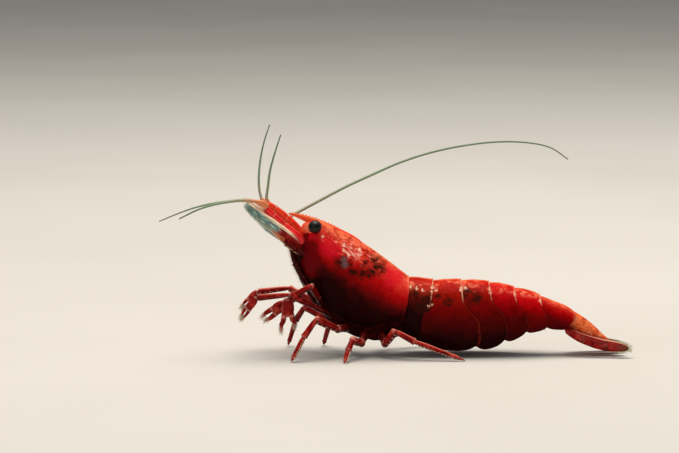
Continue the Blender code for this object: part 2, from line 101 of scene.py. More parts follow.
# A grid is laid over a form: u runs along it and v round it, and both stay in the UV map.
def layGrid(name, rows, columns, place, closed=True, wall=0.0, spacing=None, marks=None):
    bpy.ops.object.select_all(action="DESELECT")
    bpy.ops.mesh.primitive_grid_add(x_subdivisions=rows, y_subdivisions=columns, size=1)
    piece = bpy.context.object
    piece.name = piece.data.name = name
    mesh = piece.data
    flat = np.empty(len(mesh.vertices) * 3)
    mesh.vertices.foreach_get("co", flat)
    u, v = flat.reshape(-1, 3)[:, 0] + 0.5, flat.reshape(-1, 3)[:, 1] + 0.5
    if spacing is not None:  # rows crowd together where the form needs them
        even = np.linspace(0, 1, len(spacing))
        u = np.interp(u, even, spacing)
        layer = mesh.uv_layers[0].data
        uvs = np.empty(len(layer) * 2)
        layer.foreach_get("uv", uvs)
        uvs[::2] = np.interp(uvs[::2], even, spacing)
        layer.foreach_set("uv", uvs)
    mesh.vertices.foreach_set("co", inFrame(place(u, v)).ravel())
    for key, values in (marks or {}).items():
        mark = mesh.attributes.new(key, "FLOAT", "POINT")
        mark.data.foreach_set("value", np.asarray(values(u, v), float))
    if closed:
        bpy.ops.object.mode_set(mode="EDIT")
        bpy.ops.mesh.select_all(action="SELECT")
        bpy.ops.mesh.remove_doubles(threshold=3e-7)
        bpy.ops.mesh.normals_make_consistent(inside=False)
        bpy.ops.object.mode_set(mode="OBJECT")
    if wall:
        applyModifier(piece, "SOLIDIFY", thickness=wall * mm, offset=-1, use_rim=True)
    applyModifier(piece, "SUBSURF", levels=1, render_levels=1)
    mesh.shade_smooth()
    return piece


lineSamples = 400


# The line a tube follows, with its directions, ready to be read at any share of its length
def layLine(points, curved=True, soften=0.0, flatWay=None):
    points = np.asarray(points, float)
    if curved:
        dense = along(points, np.linspace(0, len(points) - 1, lineSamples))
    else:
        dense = points
    steps = np.r_[0, np.cumsum(np.linalg.norm(np.diff(dense, axis=0), axis=1))]
    shares = np.linspace(0, 1, lineSamples)
    line = np.stack([np.interp(shares, steps / steps[-1], dense[:, k]) for k in range(3)], axis=1)
    if soften:  # round the bends at the joints
        reach = max(1, int(soften / steps[-1] * lineSamples))
        kernel = np.hanning(2 * reach + 3)[1:-1]
        kernel /= kernel.sum()
        first, last = np.tile(line[0], (reach, 1)), np.tile(line[-1], (reach, 1))
        padded = np.vstack([first, line, last])
        line = np.stack([np.convolve(padded[:, k], kernel, "valid") for k in range(3)], axis=1)
    ways = unit(np.gradient(line, axis=0))
    if flatWay is not None:
        across = unit(np.cross(ways, flatWay))
    else:
        across = np.empty_like(ways)
        start = np.cross(ways[0], (0.31, 0.22, 0.93))
        for i, way in enumerate(ways):  # carried along with no twist
            start = unit(start - way * np.dot(start, way))
            across[i] = start
    out = np.cross(across, ways)
    return {"shares": shares, "line": line, "ways": ways, "across": across, "out": out, "length": steps[-1]}


def readLine(path, u, *keys):  # the line, its ways, or the two ways square to it, at the shares u
    read = [
        np.stack([np.interp(u, path["shares"], path[key][:, k]) for k in range(3)], axis=-1) for key in keys
    ]
    return read if len(read) > 1 else read[0]


def outOfTube(path, u, turn):  # the way out of a tube's wall, turn radians round it
    across, out = readLine(path, u, "across", "out")
    return across * np.cos(turn)[:, None] + out * np.sin(turn)[:, None]


def squareTo(ways, direction):  # the part of a direction that is square to a line
    direction = np.asarray(direction, float)
    return unit(direction - ways * (ways @ direction)[:, None])


# width and height are functions of u and v in millimetres
def tubePlace(path, width, height=None):
    height = height or width

    def place(u, v):
        turn = 2 * math.pi * v
        centre, across, out = readLine(path, u, "line", "across", "out")
        return (
            centre
            + across * (np.cos(turn) * width(u, v))[:, None]
            + out * (np.sin(turn) * height(u, v))[:, None]
        )

    return place


def rounded(u, rootSoft, tipSoft):  # closes both ends of a tube in a round
    start = np.sqrt(np.clip(1 - (1 - np.clip(u / rootSoft, 0, 1)) ** 2, 0, 1))
    end = np.sqrt(np.clip(1 - (1 - np.clip((1 - u) / tipSoft, 0, 1)) ** 2, 0, 1))
    return start * end


# A size that goes through the given values along a piece and closes in a round at both ends
def profile(values, rootSoft, tipSoft, places=None, scale=1.0):
    places = np.linspace(0, 1, len(values)) if places is None else places
    return lambda u, v=None: scale * np.interp(u, places, values) * rounded(u, rootSoft, tipSoft)


def joined(name, pieces):
    bpy.ops.object.select_all(action="DESELECT")
    for piece in pieces:
        piece.select_set(True)
    bpy.context.view_layer.objects.active = pieces[0]
    bpy.ops.object.join()
    pieces[0].name = pieces[0].data.name = name
    return pieces[0]


def finish(piece, material, slot, *nodes):
    piece.data.materials.clear()
    piece.data.materials.append(material)
    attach(piece, "root")
    if nodes:
        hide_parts(*nodes)


# Every kind of bristle: length and root radius in millimetres, how unevenly it stands, and its random seed
setae = {
    "rostrumTeeth": {"length": 0.20, "radius": 0.05, "jitter": 0.02, "seed": 1},
    "legSpinules": {"length": 0.26, "radius": 0.046, "jitter": 0.05, "seed": 1},
    "clawBrushes": {"length": 0.40, "radius": 0.018, "jitter": 0.15, "seed": 3},
    "peduncleBristles": {"length": 0.24, "radius": 0.022, "jitter": 0.15, "seed": 4},
    "antennaBaseFringe": {"length": 0.36, "radius": 0.034, "jitter": 0.08, "seed": 5},
    "scaleFringe": {"length": 0.26, "radius": 0.022, "jitter": 0.15, "seed": 6},
    "mouthBristles": {"length": 0.28, "radius": 0.016, "jitter": 0.25, "seed": 7},
    "telsonSpines": {"radius": 0.025, "jitter": 0.04, "seed": 1},
    "tailFringe": {"radius": 0.018, "jitter": 0.08, "seed": 8},
    "swimmeretFringe": {"length": 0.30, "radius": 0.018, "jitter": 0.15, "seed": 9},
}
lowestRoot = 0.06  # no bristle grows from lower than this, in millimetres


# Bristles as one mesh: each is a cone with three sides. A tuft is its roots, ways, places on the unwrap and,
# where they differ, lengths.
def growSetae(name, *tufts):
    kind = setae[name]
    rng = np.random.default_rng(kind["seed"])
    roots, ways, uvs, *lengths = (np.concatenate(column) for column in zip(*tufts))
    count = len(roots)
    roots[:, 2] = np.maximum(roots[:, 2], lowestRoot)
    ways = unit(ways + rng.normal(0, kind["jitter"], (count, 3)))
    lengths = (lengths[0] if lengths else kind["length"]) * rng.uniform(0.75, 1.1, count)
    across = unit(np.cross(ways, (0.37, 0.51, 0.78)))
    out = np.cross(across, ways)
    verts = []
    for share, thick in ((0.0, 1.0), (0.35, 0.8), (0.7, 0.5), (1.0, 0.0)):
        centre = roots + ways * (lengths * share)[:, None]
        if not thick:
            verts.append(centre[:, None])
            continue
        ring = [
            centre + (across * math.cos(a) + out * math.sin(a)) * kind["radius"] * thick
            for a in (0, 2 * math.pi / 3, 4 * math.pi / 3)
        ]
        verts.append(np.stack(ring, axis=1))
    verts = np.concatenate(verts, axis=1)  # bristle, its 10 corners, xyz
    faces = [(2, 1, 0)]
    for ring in (0, 3):
        faces += [(ring + a, ring + b, ring + b + 3, ring + a + 3) for a, b in ((0, 1), (1, 2), (2, 0))]
    faces += [(6, 7, 9), (7, 8, 9), (8, 6, 9)]
    every = [tuple(i * 10 + corner for corner in face) for i in range(count) for face in faces]
    mesh = bpy.data.meshes.new(name)
    mesh.from_pydata(inFrame(verts.reshape(-1, 3)).tolist(), [], every)
    mesh.shade_smooth()
    # each bristle's patch of the unwrap, at its root's place on the piece it grows from
    layer = mesh.uv_layers.new(name="OFBake")
    corner = np.empty(len(mesh.loops), int)
    mesh.loops.foreach_get("vertex_index", corner)
    patch = np.array([(0, 0), (1, 0), (0.5, 0.3)] * 3 + [(0.5, 1)], float) * 0.003
    patch[3:6, 1], patch[6:9, 1] = 0.001, 0.002
    layer.data.foreach_set("uv", (uvs[corner // 10] * 0.99 + patch[corner % 10]).ravel())
    piece = bpy.data.objects.new(name, mesh)
    bpy.context.scene.collection.objects.link(piece)
    for vertex in mesh.vertices:  # nothing reaches below what the animal stands on
        vertex.co.z = max(vertex.co.z, floorGap)
    return piece


def hexColour(text):  # an sRGB hex value as a linear colour
    channels = [int(text[i : i + 2], 16) / 255 for i in (1, 3, 5)]
    return (*[c / 12.92 if c <= 0.04045 else ((c + 0.055) / 1.055) ** 2.4 for c in channels], 1)


# For each kind of node: its inputs in the order they are given, the output that is read, and the settings
# it has unless others are given
nodeSockets = {
    "Attribute": ((), "Fac", {}),
    "Bump": (("Height", "Strength", "Distance"), 0, {}),
    "Mapping": (("Vector", "Rotation", "Scale"), 0, {}),
    "MapRange": ((0, 1, 2, 3, 4), 0, {"interpolation_type": "SMOOTHSTEP"}),
    "Math": ((0, 1, 2), 0, {"operation": "MULTIPLY"}),
    "Mix": ((0, 6, 7), 2, {"data_type": "RGBA"}),
    "SeparateXYZ": ((0,), 0, {}),
    "TexCoord": ((), "Object", {}),
    "TexNoise": (("Vector", "Scale", "Detail", "Distortion"), "Fac", {}),
    "TexVoronoi": (("Vector", "Scale"), "Distance", {}),
    "TexWave": (("Vector", "Scale", "Distortion", "Detail"), "Fac", {}),
    "ValToRGB": ((0,), 0, {}),
    "VectorMath": ((0, 1), 0, {"operation": "MULTIPLY"}),
}


def addNode(tree, kind, *given, read=None, stops=(), **settings):
    takes, gives, always = nodeSockets[kind]
    node = tree.nodes.new("ShaderNode" + kind)
    for key, value in {**always, **settings}.items():
        setattr(node, key, value)
    for key, value in zip(takes, given):
        if isinstance(value, bpy.types.NodeSocket):
            tree.links.new(value, node.inputs[key])
        else:
            node.inputs[key].default_value = hexColour(value) if isinstance(value, str) else value
    if stops:
        ramp = node.color_ramp
        while len(ramp.elements) < len(stops):
            ramp.elements.new(0.5)
        for element, (place, colour) in zip(ramp.elements, stops):
            element.position, element.color = place, hexColour(colour)
    return node.outputs[gives if read is None else read]


def newMaterial(name, **fixed):
    material = bpy.data.materials.new(name)
    material.use_nodes = True
    for key, value in fixed.items():
        material.node_tree.nodes["Principled BSDF"].inputs[key.replace("_", " ")].default_value = value
    return material, material.node_tree


def wired(material, colour, rough=None, height=None, depth=0.0, strength=0.5):  # depth in millimetres
    tree = material.node_tree
    sockets = tree.nodes["Principled BSDF"].inputs
    tree.links.new(colour, sockets["Base Color"])
    if rough is not None:
        tree.links.new(rough, sockets["Roughness"])
    if height is not None:
        tree.links.new(addNode(tree, "Bump", height, strength, depth * mm), sockets["Normal"])
    return material


def millimetres(tree):  # object coordinates with one unit to the millimetre
    coords = addNode(tree, "TexCoord")
    return addNode(tree, "VectorMath", coords, (1000.0, 1000.0, 1000.0))


# A shade laid over a colour, as far as all the amounts allow
def painted(tree, colour, shade, *amounts):
    amount = amounts[0]
    for other in amounts[1:]:
        amount = addNode(tree, "Math", amount, other)
    return addNode(tree, "Mix", amount, colour, shade)


def wobbled(tree, value, pattern, amount):  # a value pushed up and down by a pattern
    push = addNode(tree, "Math", pattern, 0.5, operation="SUBTRACT")
    push = addNode(tree, "Math", push, amount)
    return addNode(tree, "Math", value, push, operation="ADD")


# Spots are (y, z, radius) in the side view, so both flanks carry the same markings.
def spotMask(tree, flank, spots, soft):
    mask = None
    for y, z, radius in spots:
        place = tuple(inFrame((0, y, z)) / mm * (0, 1, 1))
        away = addNode(tree, "VectorMath", flank, place, read="Value", operation="DISTANCE")
        one = addNode(tree, "MapRange", away, radius * (1 + soft), radius * (1 - soft))
        mask = one if mask is None else addNode(tree, "Math", mask, one, operation="MAXIMUM")
    return mask


# The side view's coordinates, pushed about by up to half of amount millimetres, which makes ragged edges
def jostled(tree, side, scale, detail, amount):
    push = addNode(tree, "TexNoise", side, scale, detail, read="Color")
    push = addNode(tree, "VectorMath", push, (0.5, 0.5, 0.5), operation="SUBTRACT")
    push = addNode(tree, "VectorMath", push, (amount, amount, amount))
    moved = addNode(tree, "VectorMath", side, push, operation="ADD")
    return addNode(tree, "VectorMath", moved, (0, 1, 1))


# Calcified chitin, grown and unworn: red pigment cells under a clear glossy skin. The eye sees a deep red
# that turns orange along the back and nearly black low on the flank, partly the pigment and partly painted
# light from above and painted shade low down, with a fine grain that breaks up the shine.
def shellChitin(name, ramp, marks, rim):
    material, tree = newMaterial(
        name,
        IOR=1.45,
        Specular_IOR_Level=0.02,
        Specular_Tint=hexColour("#ff8c78"),  # light that has passed through the red skin
        Coat_Weight=0.03,
        Coat_Roughness=0.14,
        Subsurface_Weight=0.05,
        Subsurface_Scale=0.0004,
    )
    coords = millimetres(tree)
    unwrap = addNode(tree, "TexCoord", read="UV")
    lengthwise = addNode(tree, "SeparateXYZ", unwrap)
    around = addNode(tree, "SeparateXYZ", unwrap, read=1)
    turned = addNode(tree, "Math", around, 2.0, -1.0, operation="MULTIPLY_ADD")
    low = addNode(tree, "Math", turned, operation="ABSOLUTE")
    broad = addNode(tree, "TexNoise", coords, 0.9, 4.0, 0.4)
    grain = addNode(tree, "TexNoise", coords, 7.0, 4.0)  # pigment cells of about 0.15 mm
    level = wobbled(tree, wobbled(tree, low, broad, 0.16), grain, 0.07)
    if "forward" in marks:  # the bright red, and with it the start of the painted shade, reaches lower towards the head and at the rear edge
        for key, start, end in (("forward", 0.50, 0.22), ("rear", 0.70, 0.92)):
            reach = addNode(tree, "MapRange", lengthwise, start, end, 0.0, marks[key])
            level = addNode(tree, "Math", level, reach, operation="SUBTRACT")
    colour = addNode(tree, "ValToRGB", level, stops=ramp)
    # mottling: darker clouds, then lighter grains on the upper flank
    clouds = addNode(tree, "MapRange", addNode(tree, "TexNoise", coords, 2.2, 5.0, 0.8), 0.52, 0.74, 0.0, 0.5)
    dimmed = addNode(tree, "Mix", 1.0, colour, "#8a4a40", blend_type="MULTIPLY")
    colour = painted(tree, colour, dimmed, clouds)
    upper = addNode(tree, "MapRange", low, 0.58, 0.30)
    lights = addNode(tree, "MapRange", addNode(tree, "TexNoise", coords, 5.0, 3.0, 1.2), 0.58, 0.74, 0.0, 0.4)
    colour = painted(tree, colour, "#ee3018", lights, upper)
    # along the back: painted highlights in salmon, and crimson patches between them
    top = addNode(tree, "Math", addNode(tree, "MapRange", low, 0.34, 0.20), 0.7)
    highlightAndCrimsonNoise = addNode(tree, "TexNoise", coords, 1.25, 4.0, 0.7)
    colour = painted(tree, colour, "#ff8660", addNode(tree, "MapRange", highlightAndCrimsonNoise, 0.52, 0.66), top)
    colour = painted(tree, colour, "#b4080a", addNode(tree, "MapRange", highlightAndCrimsonNoise, 0.49, 0.37), top)
    # markings
    side = addNode(tree, "VectorMath", coords, (0, 1, 1))
    flank = jostled(tree, side, 2.4, 4.0, 0.8)
    # bright spots are painted light, lit red patches; front spots are painted shade, a dark band down the
    # front below the eye
    for key, shade, strength in (("bright", "#e6162a", 0.8), ("front", "#74060c", 0.85)):
        if key in marks:
            colour = painted(tree, colour, shade, spotMask(tree, flank, marks[key], 0.5), strength)
    tilt = (math.radians(-12), 0, 0)
    streaks = addNode(tree, "Mapping", coords, tilt, (0.35, 0.55, 0.24), vector_type="TEXTURE")
    patchy = addNode(tree, "TexNoise", streaks, 1.0, 4.0, 0.4)
    patchy = addNode(tree, "MapRange", patchy, 0.30, 0.62, 0.35, 1.0)
    colour = painted(tree, colour, "#34130b", spotMask(tree, flank, marks["dark"], 0.6), patchy)
    if "highlightStrokes" in marks:  # painted highlights: pale pink strokes of reflected light on wrinkles that run with the back, darker hollows between
        tilt = (math.radians(-33), 0, 0)
        lie = addNode(tree, "Mapping", coords, tilt, (0.5, 0.55, 0.2), vector_type="TEXTURE")
        wrinkles = addNode(tree, "TexNoise", lie, 1.0, 2.5, 0.9)
        brightestHighlight = spotMask(tree, flank, marks["brightestHighlight"], 0.6)
        wrinkles = addNode(tree, "Math", wrinkles, addNode(tree, "Math", brightestHighlight, 0.06), operation="ADD")
        where = spotMask(tree, flank, marks["highlightStrokes"], 0.6)
        hollows = addNode(tree, "MapRange", wrinkles, 0.48, 0.38, 0.0, 0.6)
        colour = painted(tree, colour, "#7c0f10", hollows, where)
        light = addNode(tree, "Mix", brightestHighlight, "#ff8a72", "#ffc6b4")
        ridges = addNode(tree, "MapRange", wrinkles, 0.55, 0.67, 0.0, 0.9)
        colour = painted(tree, colour, light, ridges, where)
    if "grey" in marks:
        grainy = addNode(tree, "MapRange", grain, 0.3, 0.6, 0.75, 1.0)
        colour = painted(tree, colour, "#6e5459", spotMask(tree, side, marks["grey"], 0.7), grainy)
    # pale spots: painted highlights, small glints along the seams and on the upper flank
    nearby = jostled(tree, side, 9.0, 3.0, 0.45)
    pale = spotMask(tree, nearby, marks["pale"], 0.5)
    colour = painted(tree, colour, "#ffcdb0", pale, 0.9)
    specks = addNode(tree, "TexVoronoi", coords, 3.6)
    colour = painted(tree, colour, "#2a0906", addNode(tree, "MapRange", specks, 0.17, 0.10), upper, 0.4)
    # the margins are thin and clear: a pale line near the back, partly painted light as of a lit rim, a dull
    # one lower down
    margin = addNode(tree, "MapRange", lengthwise, rim[0], rim[1])
    broken = addNode(tree, "TexNoise", coords, 3.0, 3.0, 1.0)
    broken = addNode(tree, "MapRange", broken, 0.36, 0.56, 0.25, 1.0)
    edge = addNode(tree, "Mix", addNode(tree, "MapRange", low, 0.34, 0.46), "#f0a888", "#6e1a12")
    offBack = addNode(tree, "MapRange", low, 0.04, 0.14, 0.35, marks["margin"])
    colour = painted(tree, colour, edge, margin, offBack, broken)
    colour = painted(tree, colour, "#5e1c14", addNode(tree, "MapRange", low, 0.975, 0.99, 0.0, 0.25))
    highlightCrest = addNode(tree, "MapRange", low, 0.055, 0.02)  # the thin orange line along the back, painted rim light
    colour = painted(tree, colour, "#ee8a58", highlightCrest, addNode(tree, "MapRange", grain, 0.3, 0.6, 0.35, 0.9))
    rough = addNode(tree, "MapRange", grain, 0.3, 0.7, 0.26, 0.46)
    fine = addNode(tree, "TexNoise", coords, 9.0, 5.0)  # pits of about 0.1 mm
    height = addNode(tree, "Math", fine, addNode(tree, "Math", grain, 0.8), operation="ADD")
    return wired(material, colour, rough, height, 0.05, 0.55)


grooves = 4  # round a limb, where its muscles show


# Chitin over muscle on the limbs: a clear glossy tube of even red, pale where it thins at each joint.
# Light and shade are painted on: a lighter crest with a pale glint line on top, painted shade underneath
# and towards the body, and the joints paler on top.
def limbChitin(name, base, deep, light, joint, streak=0.0):
    material, tree = newMaterial(
        name,
        IOR=1.5,
        Specular_IOR_Level=0.12,
        Specular_Tint=hexColour("#ff9c8c"),
        Coat_Weight=0.12,
        Coat_Roughness=0.10,
        Subsurface_Weight=0.05,
        Subsurface_Scale=0.0003,
    )
    coords = millimetres(tree)
    broad = addNode(tree, "TexNoise", coords, 1.6, 4.0, 0.5)
    colour = addNode(tree, "ValToRGB", broad, stops=[(0.25, deep), (0.50, base), (1.00, light)])
    fine = addNode(tree, "TexNoise", coords, 8.0, 4.0)
    colour = painted(tree, colour, deep, addNode(tree, "MapRange", fine, 0.5, 0.75, 0.0, 0.25))
    if streak:  # long grooves between the muscles
        around = addNode(tree, "SeparateXYZ", addNode(tree, "TexCoord", read="UV"), read=1)
        turns = addNode(tree, "Math", around, 2 * math.pi * grooves)
        lines = wobbled(tree, addNode(tree, "Math", turns, operation="SINE"), broad, 2.5)
        colour = painted(tree, colour, deep, addNode(tree, "MapRange", lines, 0.4, 1.0, 0.0, streak))
        colour = painted(tree, colour, light, addNode(tree, "MapRange", lines, -0.5, -1.0, 0.0, streak * 0.8))
    # painted highlight: lighter along the top of each tube, with a pale glint line at the very top
    highlightCrest = addNode(tree, "Attribute", attribute_name="highlightCrest")
    colour = painted(tree, colour, light, highlightCrest, 0.85)
    colour = painted(tree, colour, "#ffb8a6", addNode(tree, "MapRange", highlightCrest, 0.7, 1.0, 0.0, 0.55))
    # painted shade underneath
    under = addNode(tree, "Attribute", attribute_name="under")
    colour = painted(tree, colour, deep, under, 0.9)
    # painted shadow of the body, darker towards the hip
    shade = addNode(tree, "Attribute", attribute_name="shade")
    dimmed = addNode(tree, "Mix", 1.0, colour, "#8a3a34", blend_type="MULTIPLY")
    colour = painted(tree, colour, dimmed, shade)
    # pale joints, which limb() makes stronger on top as painted highlight
    pale = addNode(tree, "Attribute", attribute_name="joint")
    colour = painted(tree, colour, joint, pale, addNode(tree, "MapRange", fine, 0.3, 0.6, 0.5, 1.0))
    return wired(material, colour, addNode(tree, "MapRange", fine, 0.3, 0.7, 0.22, 0.38), fine, 0.02)


# Flexible cuticle of the breast and belly: soft, unmineralised and wet, and dully shiny. Its near-black red
# is partly painted shade, as it lies under the body and between the legs.
def bareCuticle():
    material, tree = newMaterial(
        "bareCuticle",
        IOR=1.45,
        Specular_IOR_Level=0.02,
        Specular_Tint=hexColour("#ff8c78"),
        Subsurface_Weight=0.05,
        Subsurface_Scale=0.0004,
    )
    coords = millimetres(tree)
    folds = addNode(tree, "TexNoise", coords, 2.0, 4.0, 0.6)
    stops = [(0.3, "#1b0505"), (0.5, "#2c0807"), (0.72, "#4e120d")]
    colour = addNode(tree, "ValToRGB", folds, stops=stops)
    high = addNode(tree, "SeparateXYZ", coords, read=2)
    start, end = (inFrame((0, 0, z))[2] / mm for z in (8.7, 9.5))
    # red between the eyes
    colour = painted(tree, colour, "#a01216", addNode(tree, "MapRange", high, start, end))
    rough = addNode(tree, "MapRange", folds, 0.3, 0.7, 0.4, 0.6)
    rings = addNode(tree, "TexWave", coords, 0.55, 2.0, 2.0, bands_direction="Y")
    return wired(material, colour, rough, addNode(tree, "Math", rings, folds, operation="ADD"), 0.06)


# The eye's clear cornea over black pigment: almost mirror smooth, with a net of fine facets.
def corneaMaterial():
    material, tree = newMaterial(
        "corneaOverPigment",
        IOR=1.48,
        Specular_IOR_Level=0.2,
        Coat_Weight=0.12,
        Coat_Roughness=0.06,
        Roughness=0.3,
    )
    coords = millimetres(tree)
    cloud = addNode(tree, "TexNoise", coords, 1.8, 2.0)
    upper = addNode(tree, "SeparateXYZ", coords, read=2)
    middle = float(inFrame(eye["centre"])[2] / mm)
    top = addNode(tree, "MapRange", upper, middle + 0.05, middle + 0.50)
    low = addNode(tree, "MapRange", upper, middle - 0.15, middle - 0.50)
    colour = addNode(tree, "ValToRGB", cloud, stops=[(0.35, "#040202"), (0.7, "#120705")])
    # painted reflection: grey-green over the top of the eye; browner towards the bottom
    colour = painted(tree, colour, "#4a4a3e", top, 0.45)
    colour = painted(tree, colour, "#2c0f0c", low, 0.5)
    # the facets are drawn at twice life size
    facets = addNode(tree, "TexVoronoi", coords, 18.0)
    return wired(material, colour, None, facets, 0.006, 0.3)


# Thin clear chitin of the antennal scale: bluish where dark shows through, cream along its thick rib, red
# at its root.
def scaleChitin():
    material, tree = newMaterial(
        "thinScaleChitin",
        IOR=1.54,
        Specular_IOR_Level=0.2,
        Coat_Weight=0.08,
        Coat_Roughness=0.2,
        Subsurface_Weight=0.1,
        Subsurface_Scale=0.0003,
    )
    coords = millimetres(tree)
    unwrap = addNode(tree, "TexCoord", read="UV")
    lengthwise = addNode(tree, "SeparateXYZ", unwrap)
    streaks = addNode(tree, "Mapping", unwrap, (0, 0, 0.6), (9.0, 34.0, 1.0))
    fibres = addNode(tree, "TexNoise", streaks, 1.0, 4.0, 0.3)
    stops = [(0.34, "#3e5a54"), (0.46, "#678a80"), (0.56, "#98bcae"), (0.68, "#dcebdc")]
    colour = addNode(tree, "ValToRGB", fibres, stops=stops)
    clouds = addNode(tree, "MapRange", addNode(tree, "TexNoise", coords, 1.7, 3.0), 0.45, 0.65, 0.0, 0.5)
    colour = painted(tree, colour, "#3f5054", clouds)
    rib = addNode(tree, "Attribute", attribute_name="rib")
    onRib = addNode(tree, "Math", rib, 0.10)
    spread = addNode(tree, "Math", wobbled(tree, lengthwise, fibres, 0.25), onRib, operation="ADD")
    root = addNode(tree, "MapRange", spread, 0.44, 0.32)
    red = addNode(tree, "Mix", addNode(tree, "MapRange", fibres, 0.4, 0.6), "#5e0604", "#b0241a")
    colour = painted(tree, colour, red, root)
    ribColour = addNode(tree, "Mix", addNode(tree, "MapRange", fibres, 0.35, 0.6), "#f0b890", "#fff0d4")
    ribColour = addNode(tree, "Mix", addNode(tree, "MapRange", lengthwise, 0.22, 0.02), ribColour, "#c84a38")
    colour = painted(tree, colour, ribColour, addNode(tree, "MapRange", rib, 0.12, 0.42))
    return wired(material, colour, addNode(tree, "MapRange", fibres, 0.3, 0.7, 0.3, 0.5), fibres, 0.03)


# Ringed chitin of the feelers: hundreds of tiny rings, clear grey-green, orange next to the head.
def feelerChitin(name, rings, orangeShare, creamShare, root):
    material, tree = newMaterial(
        name,
        IOR=1.54,
        Roughness=0.38,
        Coat_Weight=0.2,
        Coat_Roughness=0.2,
        Subsurface_Weight=0.15,
        Subsurface_Scale=0.0002,
    )
    u = addNode(tree, "SeparateXYZ", addNode(tree, "TexCoord", read="UV"))
    stops = [
        (0.0, root),
        (orangeShare, "#ec8648"),
        (creamShare, "#a9ab8c"),
        (min(creamShare + 0.25, 0.9), "#84a07c"),
        (1.0, "#5c7558"),
    ]
    colour = addNode(tree, "ValToRGB", u, stops=stops)
    turns = addNode(tree, "Math", u, 2 * math.pi * rings)
    wave = addNode(tree, "Math", turns, operation="SINE")
    colour = painted(tree, colour, "#4c5c44", addNode(tree, "MapRange", wave, 0.2, 1.0, 0.0, 0.4))
    return wired(material, colour, None, wave, 0.012, 0.6)


# Bristles are bare cuticle with no pigment: pale, thin and a little glossy.
def setaMaterial(name, root, tip):
    material, tree = newMaterial(
        name, IOR=1.54, Roughness=0.4, Subsurface_Weight=0.1, Subsurface_Scale=0.0002
    )
    grain = addNode(tree, "TexNoise", millimetres(tree), 3.0, 3.0)
    colour = addNode(tree, "ValToRGB", grain, stops=[(0.35, root), (0.65, tip)])
    return wired(material, colour)


# Chitin of the tail fan: thin over thick ribs, so the blade is dark red with pale ribs and a clear brownish
# tip. Flecks in the rib colour are painted highlights; the dark flecks are mottling.
def finChitin(name, base, deep, tip, rib, tipFrom=0.84, mottleAndGlints=0.08):
    material, tree = newMaterial(
        name,
        IOR=1.5,
        Specular_IOR_Level=0.06,
        Specular_Tint=hexColour("#ff8c78"),
        Coat_Weight=0.02,
        Coat_Roughness=0.15,
        Subsurface_Weight=0.03,
        Subsurface_Scale=0.0003,
    )
    coords = millimetres(tree)
    unwrap = addNode(tree, "TexCoord", read="UV")
    lengthwise = addNode(tree, "SeparateXYZ", unwrap)
    broad = addNode(tree, "TexNoise", coords, 1.5, 4.0, 0.6)
    colour = addNode(tree, "ValToRGB", broad, stops=[(0.35, deep), (0.62, base)])
    lines = addNode(tree, "Mapping", unwrap, (0, 0, 0), (3.0, 50.0, 1.0))
    rays = addNode(tree, "TexNoise", lines, 1.0, 3.0)
    colour = painted(tree, colour, deep, addNode(tree, "MapRange", rays, 0.52, 0.70, 0.0, 0.5))
    # flecks: painted highlights in the rib colour, and dark mottling
    flecks = addNode(tree, "TexNoise", coords, 2.6, 4.0, 0.9)
    colour = painted(tree, colour, rib, addNode(tree, "MapRange", flecks, 0.53, 0.66, 0.0, mottleAndGlints))
    colour = painted(tree, colour, deep, addNode(tree, "MapRange", flecks, 0.46, 0.36, 0.0, mottleAndGlints))
    reach = addNode(tree, "Math", lengthwise, addNode(tree, "Math", broad, 0.15), operation="ADD")
    ends = addNode(tree, "MapRange", reach, tipFrom, tipFrom + 0.18)
    colour = painted(tree, colour, tip, ends)
    ribs = addNode(tree, "Attribute", attribute_name="rib")
    colour = painted(tree, colour, rib, addNode(tree, "MapRange", ribs, 0.4, 0.85, 0.0, 0.85))
    rough = addNode(tree, "MapRange", broad, 0.3, 0.7, 0.28, 0.44)
    height = addNode(tree, "Math", rays, addNode(tree, "TexNoise", coords, 8.0, 3.0), operation="ADD")
    return wired(material, colour, rough, height, 0.025)


